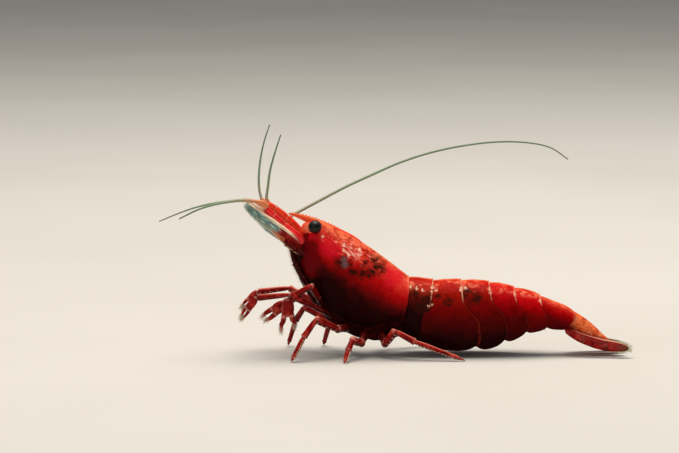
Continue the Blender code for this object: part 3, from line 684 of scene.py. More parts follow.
# stations from the eyes back: (back y, back z, lower edge y, lower edge z, half width)
carapace = {
    "stations": [
        (-6.00, 10.96, -7.68, 8.40, 1.15),
        (-5.04, 10.48, -7.52, 7.35, 1.55),
        (-3.84, 9.92, -6.96, 5.95, 1.95),
        (-2.64, 9.20, -6.00, 4.70, 2.25),
        (-1.44, 8.40, -4.64, 3.30, 2.40),
        (-0.24, 7.52, -2.88, 2.40, 2.45),
        (0.64, 6.82, -1.04, 2.10, 2.40),
        (1.28, 6.36, 0.32, 2.15, 2.30),
    ],
    "inward": 0.62,  # how far the flank curls in under the body
    # how far the front edge stands back, in stations: orbit, then antennal spine, then a plain edge
    "frontEdge": [
        (0.00, -0.25), (0.08, -0.05), (0.16, 0.35), (0.26, 0.56), (0.35, 0.45), (0.42, 0.02), (0.485, -0.26),
        (0.51, -0.25), (0.545, 0.02), (0.62, 0.02), (0.80, 0.02), (0.92, 0.15), (1.00, 0.50),
    ],
    "wall": 0.09,
    # colours from the back down the flank: orange to nearly black, partly pigment, partly painted light from
    # above and painted shade low down
    "ramp": [
        (0.00, "#ff7c4a"), (0.07, "#fa7048"), (0.18, "#e65038"), (0.30, "#e6382c"), (0.42, "#c00e12"),
        (0.50, "#ac0c0e"), (0.57, "#7a0808"), (0.64, "#480506"), (0.72, "#260304"), (1.00, "#180303"),
    ],
    "marks": {
        "forward": 0.09,
        "rear": 0.045,
        "margin": 0.4,
        # bright: painted light; front: painted shade below the eye
        "bright": [(-6.25, 9.74, 0.36), (-5.15, 9.05, 0.75), (-4.65, 8.60, 0.60), (0.10, 6.60, 0.80)],
        "front": [(-6.55, 8.95, 0.45), (-6.55, 8.25, 0.62), (-6.60, 7.50, 0.72), (-6.50, 6.95, 0.50)],
        "dark": [
            (-3.20, 7.00, 0.36), (-2.50, 6.84, 0.45), (-1.80, 6.90, 0.45), (-1.15, 7.20, 0.50),
            (-1.50, 7.85, 0.36), (-2.30, 7.60, 0.30), (-4.20, 7.75, 0.48), (-3.45, 7.70, 0.30),
        ],
        # painted highlights: where the pink strokes lie, then where they are brightest
        "highlightStrokes": [
            (-5.30, 9.70, 0.40), (-4.70, 9.45, 0.45), (-4.10, 9.05, 0.60), (-3.40, 8.70, 0.75),
            (-2.70, 8.35, 0.70), (-2.00, 8.05, 0.45),
        ],
        "brightestHighlight": [(-3.80, 9.00, 0.35), (-3.30, 8.62, 0.55), (-2.75, 8.45, 0.35)],
        "grey": [(-3.90, 7.95, 0.24), (-3.85, 7.58, 0.25)],
        # pale spots are painted highlights
        "pale": [(-5.62, 9.72, 0.09), (-3.95, 8.66, 0.12), (-3.55, 8.30, 0.12), (-2.70, 8.66, 0.10)],
    },
}
archShare = 0.6  # share of the half outline taken by the arch of the back


def trunkPoints(stations, s, v, inward, lift, lowerLift=0.0, swing=None):
    w = np.abs(2 * v - 1)
    side = np.where(v < 0.5, 1.0, -1.0)
    turn = np.clip(w / archShare, 0, 1) * math.pi / 2
    t = np.clip((w - archShare) / (1 - archShare), 0, 1)
    share = np.sin(turn) * (1 - inward * t**1.8)
    depth = 0.5 * (1 - np.cos(turn)) + 0.5 * t
    depth = depth - lowerLift * blend(0.70, 1.0, depth)
    backY, backZ, lowY, lowZ, half = np.moveaxis(along(stations, s), -1, 0)
    downY, downZ = lowY - backY, lowZ - backZ
    height = np.hypot(downY, downZ)
    outX, outD = np.sin(turn) * (1 - 0.35 * t), -np.cos(turn) + 0.35 * t  # roughly the way out of the shell
    x = side * (share * half + outX * lift)
    y = backY + downY * depth + downY / height * outD * lift
    z = backZ + downZ * depth + downZ / height * outD * lift
    if swing is not None:
        y = y + swing * blend(0.25, 0.6, depth) * (1 - 0.35 * blend(0.8, 1.0, depth))
    return np.stack([x, y, z], axis=-1), depth


def placeCarapace(u, v):
    w = np.abs(2 * v - 1)
    edge = np.array(carapace["frontEdge"])
    start = np.interp(w, edge[:, 0], edge[:, 1])
    s = start + (7 - start) * u
    lift = -0.05 * bump(0.962, 0.014, u) + 0.03 * blend(0.97, 1.0, u)  # a groove, then a raised rear rim
    lift += 0.04 * bump(0.50, 0.06, w) * bump(0.06, 0.05, u)  # the ridge that ends in the antennal spine
    lift += 0.03 * np.sin(2.1 * s + 5 * w) * np.sin(3.3 * w * math.pi) * (1 - w) * 0.5
    lift -= 0.03 * blend(0.02, 0.0, u)
    points, depth = trunkPoints(carapace["stations"], s, v, carapace["inward"], lift)
    points[:, 1] += 0.3 * blend(5.5, 7.0, s) * np.sin(math.pi * depth)
    return points


def buildCarapace():
    spacing = np.r_[np.linspace(0, 0.08, 10)[:-1], np.linspace(0.08, 0.93, 40)[:-1], np.linspace(0.93, 1, 10)]
    wall = carapace["wall"]
    shell = layGrid("carapaceShell", 68, 80, placeCarapace, closed=False, wall=wall, spacing=spacing)
    look = shellChitin("carapaceChitin", carapace["ramp"], carapace["marks"], (0.982, 0.992))
    finish(shell, look, "red shell", "carapace")


rostrum = {
    # (y, z, half height, half width) from the tip back to where the ridge sinks into the shell
    "stations": [
        (-8.40, 11.44, 0.06, 0.05),
        (-7.60, 11.22, 0.23, 0.14),
        (-6.60, 10.86, 0.34, 0.24),
        (-5.40, 10.33, 0.38, 0.36),
        (-4.40, 9.83, 0.40, 0.44),
        (-3.20, 9.20, 0.38, 0.44),
        (-2.00, 8.30, 0.30, 0.30),
    ],
    "teeth": 15,
}


def buildRostrum():
    st = np.array(rostrum["stations"])
    path = layLine([(0, y, z) for y, z, _, _ in st], flatWay=(1, 0, 0))
    high, wide = profile(st[:, 2], 0.03, 0.03), profile(st[:, 3], 0.03, 0.03)
    # its upper and lower edge are paler
    edges = lambda u, v: 0.8 * bump(0.25, 0.22, np.abs(np.abs(v - 0.5) - 0.25)) * blend(0.55, 0.30, u)
    beak = layGrid("beak", 60, 24, tubePlace(path, high, wide), marks={"joint": edges})
    # forward-pointing teeth along the top edge
    u = np.linspace(0.06, 0.58, rostrum["teeth"])
    line, ways, across = readLine(path, u, "line", "ways", "across")
    up = across * np.sign(across[:, 2:3])
    roots = line + up * (high(u)[:, None] - 0.03)
    teeth = growSetae("rostrumTeeth", (roots, up * 0.55 - ways * 0.85, np.c_[u, u * 0]))
    look = limbChitin("rostrumChitin", "#ff3e26", "#e0200f", "#ff7048", "#ff9a5c")
    finish(teeth, look, "red shell")
    finish(beak, look, "red shell")


abdomen = {
    "stations": [
        (1.28, 6.36, 0.50, 1.90, 2.20),
        (3.20, 6.08, 2.48, 0.85, 2.20),
        (5.44, 6.08, 5.86, 0.55, 2.15),
        (7.68, 5.92, 8.30, 1.10, 1.98),
        (9.68, 5.50, 10.20, 1.80, 1.72),
        (11.76, 4.86, 12.16, 2.15, 1.35),
        (14.66, 3.33, 13.90, 2.08, 0.94),
    ],
    # how far each joint line swings back beside the belly
    "swing": [0.25, -0.05, 1.15, 0.95, 0.70, 0.25, 0.00],
    "inward": 0.14,
    "wall": 0.08,
    "overlap": 0.06,
    "marks": {
        "margin": 0.9,
        "dark": [
            (2.70, 4.70, 0.50), (1.75, 5.25, 0.30), (4.36, 4.54, 0.34), (3.55, 4.95, 0.24),
            (5.85, 5.14, 0.42), (6.55, 4.90, 0.50), (2.2, 4.2, 0.5), (6.10, 4.45, 0.30),
        ],
        # pale spots are painted highlights, glints along the seams
        "pale": [
            (3.15, 5.62, 0.13), (3.42, 5.42, 0.10), (3.05, 5.30, 0.09), (5.45, 5.50, 0.15),
            (5.78, 5.58, 0.11), (1.36, 5.68, 0.09), (1.86, 5.60, 0.10), (2.36, 5.48, 0.10),
            (7.68, 5.45, 0.09), (7.74, 5.20, 0.08), (9.74, 5.05, 0.09), (11.72, 4.50, 0.10),
            (3.02, 4.34, 0.12), (2.80, 4.22, 0.10),
        ],
    },
    # colours from the back down the flank: orange to nearly black, partly pigment, partly painted light from
    # above and painted shade low down
    "ramps": [
        [
            (0.00, "#ee6238"), (0.10, "#ce2818"), (0.28, "#b42c1a"), (0.42, "#5c120c"), (0.62, "#220404"),
            (1.0, "#120202"),
        ],
        [
            (0.00, "#f06038"), (0.10, "#d42410"), (0.28, "#a8180c"), (0.45, "#880c08"), (0.64, "#5a0405"),
            (0.85, "#240304"), (1.0, "#160202"),
        ],
        [
            (0.00, "#f25c36"), (0.10, "#dc180c"), (0.28, "#a8140c"), (0.45, "#880a08"), (0.64, "#5c0404"),
            (0.87, "#240304"), (1.0, "#180202"),
        ],
        [
            (0.00, "#f65e38"), (0.10, "#e8241a"), (0.28, "#c80c14"), (0.45, "#a0040a"), (0.68, "#5c0204"),
            (0.9, "#3c0305"), (1.0, "#300304"),
        ],
        [
            (0.00, "#fa6640"), (0.10, "#dc2012"), (0.28, "#d40c14"), (0.48, "#b8040c"), (0.72, "#720203"),
            (0.9, "#560204"), (1.0, "#460204"),
        ],
        [
            (0.00, "#ff7a50"), (0.12, "#f25a38"), (0.28, "#c41410"), (0.48, "#a0020a"), (0.72, "#680207"),
            (0.9, "#500206"), (1.0, "#440206"),
        ],
    ],
}


def placeTergite(index):
    def place(u, v):
        w = np.abs(2 * v - 1)
        share = -0.13 + (1.14 if index == 5 else 1.15) * u  # the front is tucked under the plate before it
        s = np.clip(index + share, 0, 6.05)
        inner = np.clip(share, 0, 1)
        swing = abdomen["swing"][index] * (1 - share) + abdomen["swing"][index + 1] * share
        low = blend(0.50, 0.62, w)
        lift = 0.07 * np.sin(math.pi * inner) - abdomen["overlap"]
        lift += 2 * abdomen["overlap"] * blend(0.55, 1.0, share) - 0.10 * blend(0.06, -0.13, share)
        if index == 1:  # the second side plate laps over both its neighbours
            lift += low * (0.10 * blend(0.2, 0.0, share) + 0.16 * blend(0.06, -0.10, share) + 0.03)
        if index == 0:
            lift -= low * 0.14 * blend(0.6, 1.0, share)
        lift += 0.02 * bump(0.985, 0.02, u) - 0.03 * bump(0.93, 0.025, u)  # rolled rear rim
        lift += 0.05 * np.sin(math.pi * inner) ** 2 * blend(0.35, 0.1, w)  # each back plate is arched
        if index == 5:
            lift += 0.14 * bump(0.72, 0.22, share) * blend(0.5, 0.1, w)
        roundOff = np.where(share < 0.5, 0.06, 0.09) * np.abs(2 * inner - 1) ** 3
        points, _ = trunkPoints(abdomen["stations"], s, v, abdomen["inward"], lift, roundOff, swing)
        return points

    return place


def buildAbdomen():
    spacing = np.r_[np.linspace(0, 0.85, 20)[:-1], np.linspace(0.85, 1, 10)]
    for index in range(6):
        number = index + 1
        label, place, wall = f"tergite_{number}", placeTergite(index), abdomen["wall"]
        plate = layGrid(label, 30, 76, place, closed=False, wall=wall, spacing=spacing)
        marks = abdomen["marks"] if number < 6 else {**abdomen["marks"], "margin": 0.15}
        look = shellChitin(f"tergiteChitin_{number}", abdomen["ramps"][index], marks, (0.950, 0.968))
        finish(plate, look, "red shell", f"abdomen_{number}")


# One soft body lies under all the plates: (back y, back z, lower y, lower z, half width)
flesh = {
    "stations": [
        (-6.75, 10.20, -8.10, 8.95, 0.50),
        (-5.85, 10.30, -8.05, 7.90, 0.85),
        (-4.85, 9.95, -7.65, 6.50, 1.25),
        (-3.65, 9.45, -6.95, 5.05, 1.55),
        (-2.50, 8.75, -6.05, 3.75, 1.75),
        (-1.30, 8.00, -4.55, 2.20, 1.90),
        (-0.20, 7.15, -2.60, 1.35, 1.95),
        (0.70, 6.45, -0.55, 1.15, 1.95),
        (1.45, 5.95, 1.10, 1.75, 1.90),
        (3.20, 5.70, 2.75, 2.75, 1.80),
        (5.44, 5.70, 5.70, 2.60, 1.75),
        (7.68, 5.55, 8.06, 2.80, 1.58),
        (9.68, 5.15, 10.00, 2.95, 1.36),
        (11.76, 4.50, 12.00, 2.75, 1.05),
        (13.30, 3.75, 13.30, 2.25, 0.80),
        (14.45, 3.15, 14.15, 2.20, 0.55),
    ]
}


def placeFlesh(u, v):
    turn = 2 * math.pi * v
    last = len(flesh["stations"]) - 1
    backY, backZ, lowY, lowZ, half = np.moveaxis(along(flesh["stations"], u * last), -1, 0)
    depth = 0.5 * (1 - np.cos(turn))
    closing = rounded(u, 0.03, 0.03)
    narrow = 1 - 0.33 * blend(0.55, 1.0, depth) * blend(0.62, 0.5, u) - 0.1 * blend(0.6, 1.0, depth)
    depth = 0.5 + (depth - 0.5) * closing
    ridges = 0.05 * np.sin(u * last * 2 * math.pi * 1.5) * blend(0.75, 1.0, depth)
    x = np.sin(turn) * half * narrow * closing
    return np.stack([x, backY + (lowY - backY) * depth, backZ + (lowZ - backZ) * depth + ridges], axis=-1)


def buildFlesh():
    body = layGrid("softBody", 90, 36, placeFlesh)
    finish(body, bareCuticle(), "dark red underside", "thorax")


# Radii along a limb. Each part is (start, end, swell): narrow in its joint, then swelling, then a flared rim.
def articles(bounds, parts, flare):
    bounds = np.asarray(bounds, float)
    parts = np.asarray(parts, float)

    def radius(u, v=None):
        i = np.clip(np.searchsorted(bounds, u, side="right") - 1, 0, len(parts) - 1)
        t = np.clip((u - bounds[i]) / (bounds[i + 1] - bounds[i]), 0, 1)
        start, end, swell = np.moveaxis(parts[i], -1, 0)
        r = (start + (end - start) * t) * (1 + swell * np.sin(math.pi * t))
        r = r * (0.80 + 0.20 * blend(0.0, 0.18, t))
        rim = (1 + flare * blend(0.84, 0.95, t)) * (1 - 0.25 * blend(0.97, 1.0, t))
        return np.where(i < len(parts) - 1, r * rim, r) * rounded(u, 0.012, 0.015)

    return radius


def jointMark(bounds, reach=0.009, strength=0.34):
    inner = np.asarray(bounds[1:-1], float)

    def mark(u, v):
        near = np.min(np.abs(u[:, None] - inner[None] + reach * 0.3), axis=1)
        return strength * blend(reach * 1.1, reach * 0.2, near)

    return mark


def jointSpacing(bounds, rows):  # rows crowd round the joints
    marks = [np.linspace(0, 1, rows)]
    for b in bounds[1:-1]:
        marks.append(b + np.array([-0.03, -0.018, -0.010, -0.004, 0.0, 0.006, 0.016, 0.03]))
    return np.unique(np.clip(np.concatenate(marks), 0, 1))


def facingUp(path, u, v):  # 1 on top of a tube, -1 underneath
    return outOfTube(path, u, 2 * math.pi * v)[:, 2]


def limb(name, points, bounds, parts, rows, columns, soften=0.16, curved=False, flare=0.12, marks=None):
    path = layLine(points, curved=curved, soften=soften)
    radius = articles(bounds, parts, flare)
    spacing = jointSpacing(bounds, rows)
    place = tubePlace(path, radius)
    marks = {"joint": jointMark(bounds), **(marks or {})}
    ring = marks["joint"]
    # the pale joints are stronger on top, a painted highlight; the crest is painted highlight on top, under
    # is painted shade
    marks["joint"] = lambda u, v: ring(u, v) * (0.3 + 0.7 * blend(-0.3, 0.7, facingUp(path, u, v)))
    marks["highlightCrest"] = lambda u, v: blend(0.62, 0.97, facingUp(path, u, v))
    marks["under"] = lambda u, v: blend(0.1, -0.8, facingUp(path, u, v))
    piece = layGrid(name, len(spacing) - 1, columns, place, spacing=spacing, marks=marks)
    return piece, path, radius


walkingLegs = {
    "joints": {  # root, bend under the hip, knee, wrist, toe
        "leg_3_left": [
            (0.38, -3.50, 2.30), (1.90, -4.45, 2.35), (3.10, -6.14, 3.30), (3.60, -7.12, 1.95),
            (4.05, -8.12, 0.03),
        ],
        "leg_3_right": [
            (-0.38, -3.50, 2.30), (-1.80, -5.05, 2.50), (-2.95, -7.10, 3.45), (-3.70, -7.85, 2.20),
            (-4.20, -8.50, 0.03),
        ],
        "leg_4_left": [
            (0.40, -2.20, 1.85), (2.00, -2.55, 1.22), (3.12, -3.25, 1.65), (3.70, -3.60, 0.92),
            (4.50, -3.88, 0.03),
        ],
        "leg_4_right": [
            (-0.40, -2.25, 1.85), (-1.90, -3.20, 1.85), (-3.00, -4.60, 2.70), (-3.70, -5.20, 1.60),
            (-4.50, -5.60, 0.03),
        ],
        "leg_5_left": [
            (0.40, -1.00, 1.85), (2.05, -0.62, 1.18), (2.70, 0.12, 2.30), (3.10, 1.72, 1.50),
            (3.45, 5.75, 0.03),
        ],
        "leg_5_right": [
            (-0.40, -1.00, 1.85), (-2.05, -0.75, 1.35), (-2.80, -0.10, 2.40), (-3.35, 1.40, 1.55),
            (-3.95, 4.30, 0.03),
        ],
    },
    "cuts": [0, 0.5, 1, 2, 3, 3.84, 4],
    "parts": [
        (0.34, 0.33, 0.05), (0.30, 0.31, 0.05), (0.27, 0.31, 0.12), (0.21, 0.27, 0.02), (0.22, 0.17, 0.05),
        (0.15, 0.04, 0.0),
    ],
}
clawArms = {
    "joints": {  # root, knee, wrist
        "arm_1_left": [(0.35, -5.55, 3.95), (2.20, -6.54, 5.87), (2.00, -8.38, 4.75)],
        "arm_1_right": [(-0.35, -5.55, 3.95), (-1.45, -7.30, 4.60), (-1.55, -8.70, 3.92)],
        "arm_2_left": [(0.38, -4.65, 3.15), (2.50, -8.30, 5.20), (1.80, -10.92, 4.85)],
        "arm_2_right": [(-0.38, -4.65, 3.15), (-2.75, -8.35, 5.00), (-1.90, -10.95, 4.80)],
    },
    "parts": {
        "arm_1": [(0.28, 0.26, 0.05), (0.24, 0.24, 0.0), (0.22, 0.26, 0.10), (0.22, 0.33, 0.0)],
        "arm_2": [(0.27, 0.26, 0.05), (0.24, 0.25, 0.0), (0.24, 0.26, 0.05), (0.19, 0.28, 0.0)],
    },
    # the tips of the two fingers of each claw, and half the width of its palm
    "claws": {
        "arm_1_left": ((1.75, -8.96, 2.05), (1.80, -7.85, 2.46), 0.52),
        "arm_1_right": ((-1.38, -10.56, 2.82), (-1.38, -10.30, 2.52), 0.50),
        "arm_2_left": ((1.40, -12.20, 3.22), (1.40, -12.10, 3.06), 0.33),
        "arm_2_right": ((-1.20, -12.20, 3.66), (-1.20, -12.08, 3.52), 0.33),
    },
    "palmThickness": 0.62,  # as a share of its width
    "brushHairs": 40,  # on each finger
}


def limbBounds(points, cuts):
    points = np.asarray(points, float)
    lengths = np.linalg.norm(np.diff(points, axis=0), axis=1)
    starts = np.r_[0, np.cumsum(lengths)]
    return [
        (starts[int(c)] + (c - int(c)) * lengths[min(int(c), len(lengths) - 1)]) / starts[-1] for c in cuts
    ]


def buildLegs(red, pale):
    combs = []
    for name, points in walkingLegs["joints"].items():
        bounds = limbBounds(points, walkingLegs["cuts"])
        # towards the body the legs are darker, painted shadow of the body; further out the joints are pale
        marks = {
            "shade": lambda u, v: blend(bounds[2] + 0.06, bounds[1], u),
            "joint": lambda u, v: jointMark(bounds)(u, v) * blend(bounds[1] + 0.02, bounds[2], u),
        }
        label = name.replace("leg", "walkingLeg")
        leg, path, radius = limb(label, points, bounds, walkingLegs["parts"], 60, 16, marks=marks)
        finish(leg, red, "red limb", f"{name}_upper", f"{name}_lower")
        # a comb of pale spinules under the shin and a few on the thigh and toe
        stretches = [(bounds[4], bounds[5], 2.8), (bounds[2], bounds[3], 1.5), (bounds[5], 1.0, 5.0)]
        for first, last, count in stretches:  # count is spinules to the millimetre
            u = np.linspace(first + 0.02, last - 0.02, 2 + round((last - first) * path["length"] * count))
            line, way = readLine(path, u, "line", "ways")
            under = squareTo(way, (1.3 * np.sign(points[0][0]), 0.15, -1.0))
            roots = line + under * radius(u)[:, None] * 0.9
            combs.append((roots, under * 0.45 + way * 0.9, np.c_[u, u * 0 + 0.75]))
    finish(growSetae("legSpinules", *combs), pale, "red limb")


def buildClaw(name, wrist, tips, half):
    wrist, tips = np.array(wrist), np.array(tips[:2])
    reach = tips.mean(axis=0) - wrist
    length = np.linalg.norm(reach)
    way = reach / length
    sideWay = unit(np.array((1.0, 0, 0)) - way * way[0])
    across = np.cross(way, sideWay)
    at = lambda share, off: wrist + way * length * share + across * off * half
    pieces, tufts = [], []
    palm = layLine([at(-0.06, 0), at(0.12, 0), at(0.34, 0), at(0.58, 0)], flatWay=sideWay)
    shape = profile([0.55, 0.72, 0.95, 1.0, 0.86, 0.5], 0.06, 0.12, [0, 0.15, 0.35, 0.6, 0.8, 1], half)
    thickness = clawArms["palmThickness"] * half
    flat = profile([0.85, 1.05, 1.15, 0.9, 0.5], 0.06, 0.12, [0, 0.2, 0.5, 0.8, 1], thickness)
    mark = {"joint": lambda u, v: 0.4 * bump(0.06, 0.05, u)}
    pieces.append(layGrid("palm", 26, 18, tubePlace(palm, shape, flat), marks=mark))
    for tip in tips:
        turn = np.sign(np.dot(tip - at(0.5, 0), across)) or 1.0
        root = at(0.40, 0.46 * turn)
        middle = at(0.62, 0.50 * turn)
        outward = root + (tip - root) * 0.62 + across * turn * 0.14 * half
        finger = layLine([root, (middle + outward) / 2, outward, tip], flatWay=sideWay)
        wide = profile([0.42, 0.46, 0.38, 0.24, 0.10], 0.06, 0.06, [0, 0.25, 0.6, 0.85, 1], half)
        deep = lambda u, v: wide(u, v) * 1.15
        mark = {"joint": lambda u, v: 0.5 * bump(0.22, 0.06, u) + 0.5 * blend(0.70, 0.98, u)}
        pieces.append(layGrid("finger", 24, 14, tubePlace(finger, wide, deep), marks=mark))
        u = np.linspace(0.62, 0.99, clawArms["brushHairs"])
        spin = np.arange(len(u)) * 2.4
        line, lineWay = readLine(finger, u, "line", "ways")
        spread = outOfTube(finger, u, spin)
        roots = line + spread * (wide(u) * 0.8)[:, None]
        tufts.append((roots, lineWay + spread * 0.30, np.c_[u, (spin / (2 * math.pi)) % 1]))
    return joined(name, pieces), tufts


def buildArms(red, pale):
    tufts = []
    for name, points in clawArms["joints"].items():
        bounds = limbBounds(points, [0, 0.22, 0.45, 1, 2])
        parts = clawArms["parts"][name[:5]]
        # towards the body the arms are darker, painted shadow of the body
        marks = {
            "shade": lambda u, v: blend(bounds[2] + 0.10, bounds[1], u),
            "joint": lambda u, v: jointMark(bounds)(u, v) * blend(bounds[1] + 0.02, bounds[3] - 0.05, u),
        }
        arm, path, _ = limb(name.replace("arm", "foreleg"), points, bounds, parts, 48, 16, marks=marks)
        finish(arm, red, "red limb", name)
        *tips, half = clawArms["claws"][name]
        claw, tuft = buildClaw(name.replace("arm", "pincer"), points[2], tips, half)
        finish(claw, red, "red limb", name.replace("arm", "claw"))
        tufts += tuft
        u = np.linspace(bounds[3] + 0.1, 0.98, 6)  # a few long hairs beside the wrist
        line, way = readLine(path, u, "line", "ways")
        tufts.append((line + (0, 0, 0.18), way * 0.7 + (0, 0, 0.8), np.c_[u, u * 0]))
    finish(growSetae("clawBrushes", *tufts), pale, "red limb")


def buildEyes(red):
    look = corneaMaterial()
    for word, side in sides.items():
        drop = eye["rightDrop"] * (side < 0)
        x, y, z = eye["centre"]
        centre = inFrame((side * x, y, z - drop))
        bpy.ops.object.select_all(action="DESELECT")
        size = (eye["radius"] - drop / 4) * mm
        bpy.ops.mesh.primitive_uv_sphere_add(segments=48, ring_count=32, radius=size, location=centre)
        ball = bpy.context.object
        ball.name = ball.data.name = f"cornea_{word}"
        bpy.ops.object.mode_set(mode="EDIT")
        bpy.ops.mesh.select_all(action="SELECT")
        bpy.ops.transform.resize(value=(0.96, 1.0, 0.97), center_override=centre)
        bpy.ops.object.mode_set(mode="OBJECT")
        bpy.ops.object.transform_apply(location=True, rotation=True, scale=True)
        ball.data.shade_smooth()
        finish(ball, look, "black eye", f"eye_{word}")
        stalkLine = [(side * x, y, z - drop * i / 3) for i, (x, y, z) in enumerate(eye["stalk"])]
        path = layLine(stalkLine)
        place = tubePlace(path, profile(eye["stalkRadii"], 0.05, 0.03))
        marks = {"joint": lambda u, v: 0.10 + 0.35 * bump(0.80, 0.20, u)}
        stalk = layGrid(f"stalk_{word}", 26, 24, place, marks=marks)
        finish(stalk, red, "red limb", f"eyestalk_{word}")


antennule = {
    "lines": {  # the left one is held lower
        "left": [
            (0.44, -6.62, 8.55), (0.50, -7.24, 9.14), (0.50, -8.60, 10.38), (0.52, -9.42, 11.10),
            (0.54, -10.20, 11.88),
        ],
        "right": [
            (-0.44, -6.62, 9.00), (-0.50, -7.53, 9.89), (-0.50, -8.30, 10.74), (-0.50, -9.10, 11.44),
            (-0.54, -10.16, 12.16),
        ],
    },
    "cuts": [0.0, 0.58, 0.82, 1.0],
    "parts": [(0.44, 0.35, 0.04), (0.33, 0.31, 0.04), (0.30, 0.28, 0.05)],
    "stylocerite": [(0.80, -6.85, 8.95), (0.92, -7.50, 9.52), (0.90, -8.20, 10.20)],
}
antennaBase = {
    "line": [(0.66, -6.70, 8.20), (0.92, -7.55, 8.62), (1.10, -8.35, 9.18), (1.20, -8.95, 9.62)],
    "cuts": [0.0, 0.42, 0.78, 1.0],
    "parts": [(0.34, 0.40, 0.05), (0.37, 0.36, 0.05), (0.28, 0.24, 0.0)],
}
antennalScale = {
    "line": [
        (1.02, -7.50, 8.98), (1.12, -8.62, 9.78), (1.12, -9.96, 10.78), (0.90, -11.12, 11.72),
        (0.64, -11.74, 12.22),
    ],
    "halfWidths": [0.36, 0.56, 0.57, 0.43, 0.24],
    "tilt": math.radians(68),
}
maxilliped = {
    "line": [(0.55, -6.40, 5.20), (0.80, -7.25, 6.40), (0.85, -7.85, 7.60), (0.80, -8.20, 8.80)],
    "cuts": [0.0, 0.38, 0.68, 1.0],
    "parts": [(0.30, 0.28, 0.04), (0.26, 0.25, 0.04), (0.23, 0.12, 0.0)],
}


def buildAntennules(red, pale):
    hairs = []
    for word, side in sides.items():
        stalk, path, radius = limb(
            "peduncle",
            antennule["lines"][word],
            antennule["cuts"],
            antennule["parts"],
            rows=46,
            columns=24,
            curved=True,
            soften=0.0,
            flare=0.05,
            marks={"joint": jointMark(antennule["cuts"], 0.012, 0.18)},
        )
        spine = layLine(mirrored(antennule["stylocerite"], side))
        place = tubePlace(spine, lambda u, v: 0.14 * (1 - 0.85 * u) * rounded(u, 0.1, 0.05))
        spike = layGrid("stylocerite", 16, 12, place, marks={"joint": lambda u, v: blend(0.5, 1, u) * 0.6})
        finish(joined(f"peduncle_{word}", [stalk, spike]), red[word], "red limb", f"antennule_{word}")
        for cut in antennule["cuts"][1:]:  # a few bristles round the end of each part
            turn = np.linspace(0, 2 * math.pi, 13)[:-1]
            u = np.full(12, cut - 0.015)
            line, way = readLine(path, u, "line", "ways")
            spread = outOfTube(path, u, turn)
            roots = line + spread * (radius(u)[:, None] * 0.97)
            hairs.append((roots, way + spread * 0.3, np.c_[u, turn / (2 * math.pi)]))
    finish(growSetae("peduncleBristles", *hairs), pale, "red limb")


def buildAntennaBases(red, pale):
    hairs = []
    for word, side in sides.items():
        base, path, radius = limb(
            f"antennaStem_{word}",
            mirrored(antennaBase["line"], side),
            antennaBase["cuts"],
            antennaBase["parts"],
            rows=36,
            columns=20,
            curved=True,
            soften=0.0,
            marks={"joint": jointMark(antennaBase["cuts"], 0.015, 0.2)},
        )
        finish(base, red, "red limb", f"antenna_base_{word}")
        u = np.linspace(0.30, 1.0, 70)
        line, way = readLine(path, u, "line", "ways")
        under = squareTo(way, (side * 0.55, 0.1, -0.8))
        roots = line + under * (np.maximum(radius(u), 0.25)[:, None] * 0.92)
        hairs.append((roots, way + under * 0.12, np.c_[u, u * 0 + 0.7]))
    finish(growSetae("antennaBaseFringe", *hairs), pale, "red limb")


def buildScales():
    look = scaleChitin()
    silver = setaMaterial("scaleSetae", "#b0bcbc", "#e6e8dc")
    hairs = []
    for word, side in sides.items():
        tilt = antennalScale["tilt"]
        flatWay = (side * math.sin(tilt), 0.45 * math.cos(tilt), math.cos(tilt))
        path = layLine(mirrored(antennalScale["line"], side), flatWay=flatWay)
        up = 1 if readLine(path, np.array([0.5]), "across")[0][2] > 0 else -1  # which edge is the upper one
        wide = profile(antennalScale["halfWidths"], 0.06, 0.10)
        rib = lambda v: bump(0.78, 0.24, up * np.cos(2 * math.pi * v))
        thick = lambda u, v: (0.055 + 0.12 * rib(v) * (1 - 0.4 * u)) * rounded(u, 0.06, 0.06)
        marks = {"rib": lambda u, v: rib(v) * (1 - 0.5 * blend(0.9, 1, u))}
        blade = layGrid(f"scaleBlade_{word}", 44, 40, tubePlace(path, wide, thick), marks=marks)
        finish(blade, look, "pale antennal scale", f"antennal_scale_{word}")
        u = np.r_[np.linspace(0.30, 0.985, 110), np.linspace(0.985, 0.90, 14)]
        edge = np.r_[np.full(110, -up), np.linspace(-up, 0.2 * up, 14)]
        line, way, across = readLine(path, u, "line", "ways", "across")
        roots = line + across * (edge * wide(u) * 0.98)[:, None]
        hairs.append((roots, way + across * (edge * 0.55)[:, None], np.c_[u, 0.5 + 0.4 * edge]))
    finish(growSetae("scaleFringe", *hairs), silver, "pale antennal scale")


def buildMouthLegs(red, pale):
    hairs = []
    for word, side in sides.items():
        points = mirrored(maxilliped["line"], side)
        cuts, parts = maxilliped["cuts"], maxilliped["parts"]
        leg, path, radius = limb(f"mouthLeg_{word}", points, cuts, parts, 36, 16)
        finish(leg, red, "red limb", f"maxilliped_{word}")
        u = np.linspace(0.3, 0.99, 36)
        line, way = readLine(path, u, "line", "ways")
        forward = squareTo(way, (side * 0.2, -0.9, -0.3))
        roots = line + forward * (radius(u)[:, None] * 0.9)
        hairs.append((roots, way * 0.5 + forward, np.c_[u, u * 0 + 0.7]))
    finish(growSetae("mouthBristles", *hairs), pale, "red limb")


ringLength = 0.20  # real rings are nearer 0.1 mm; drawn coarser so that they show
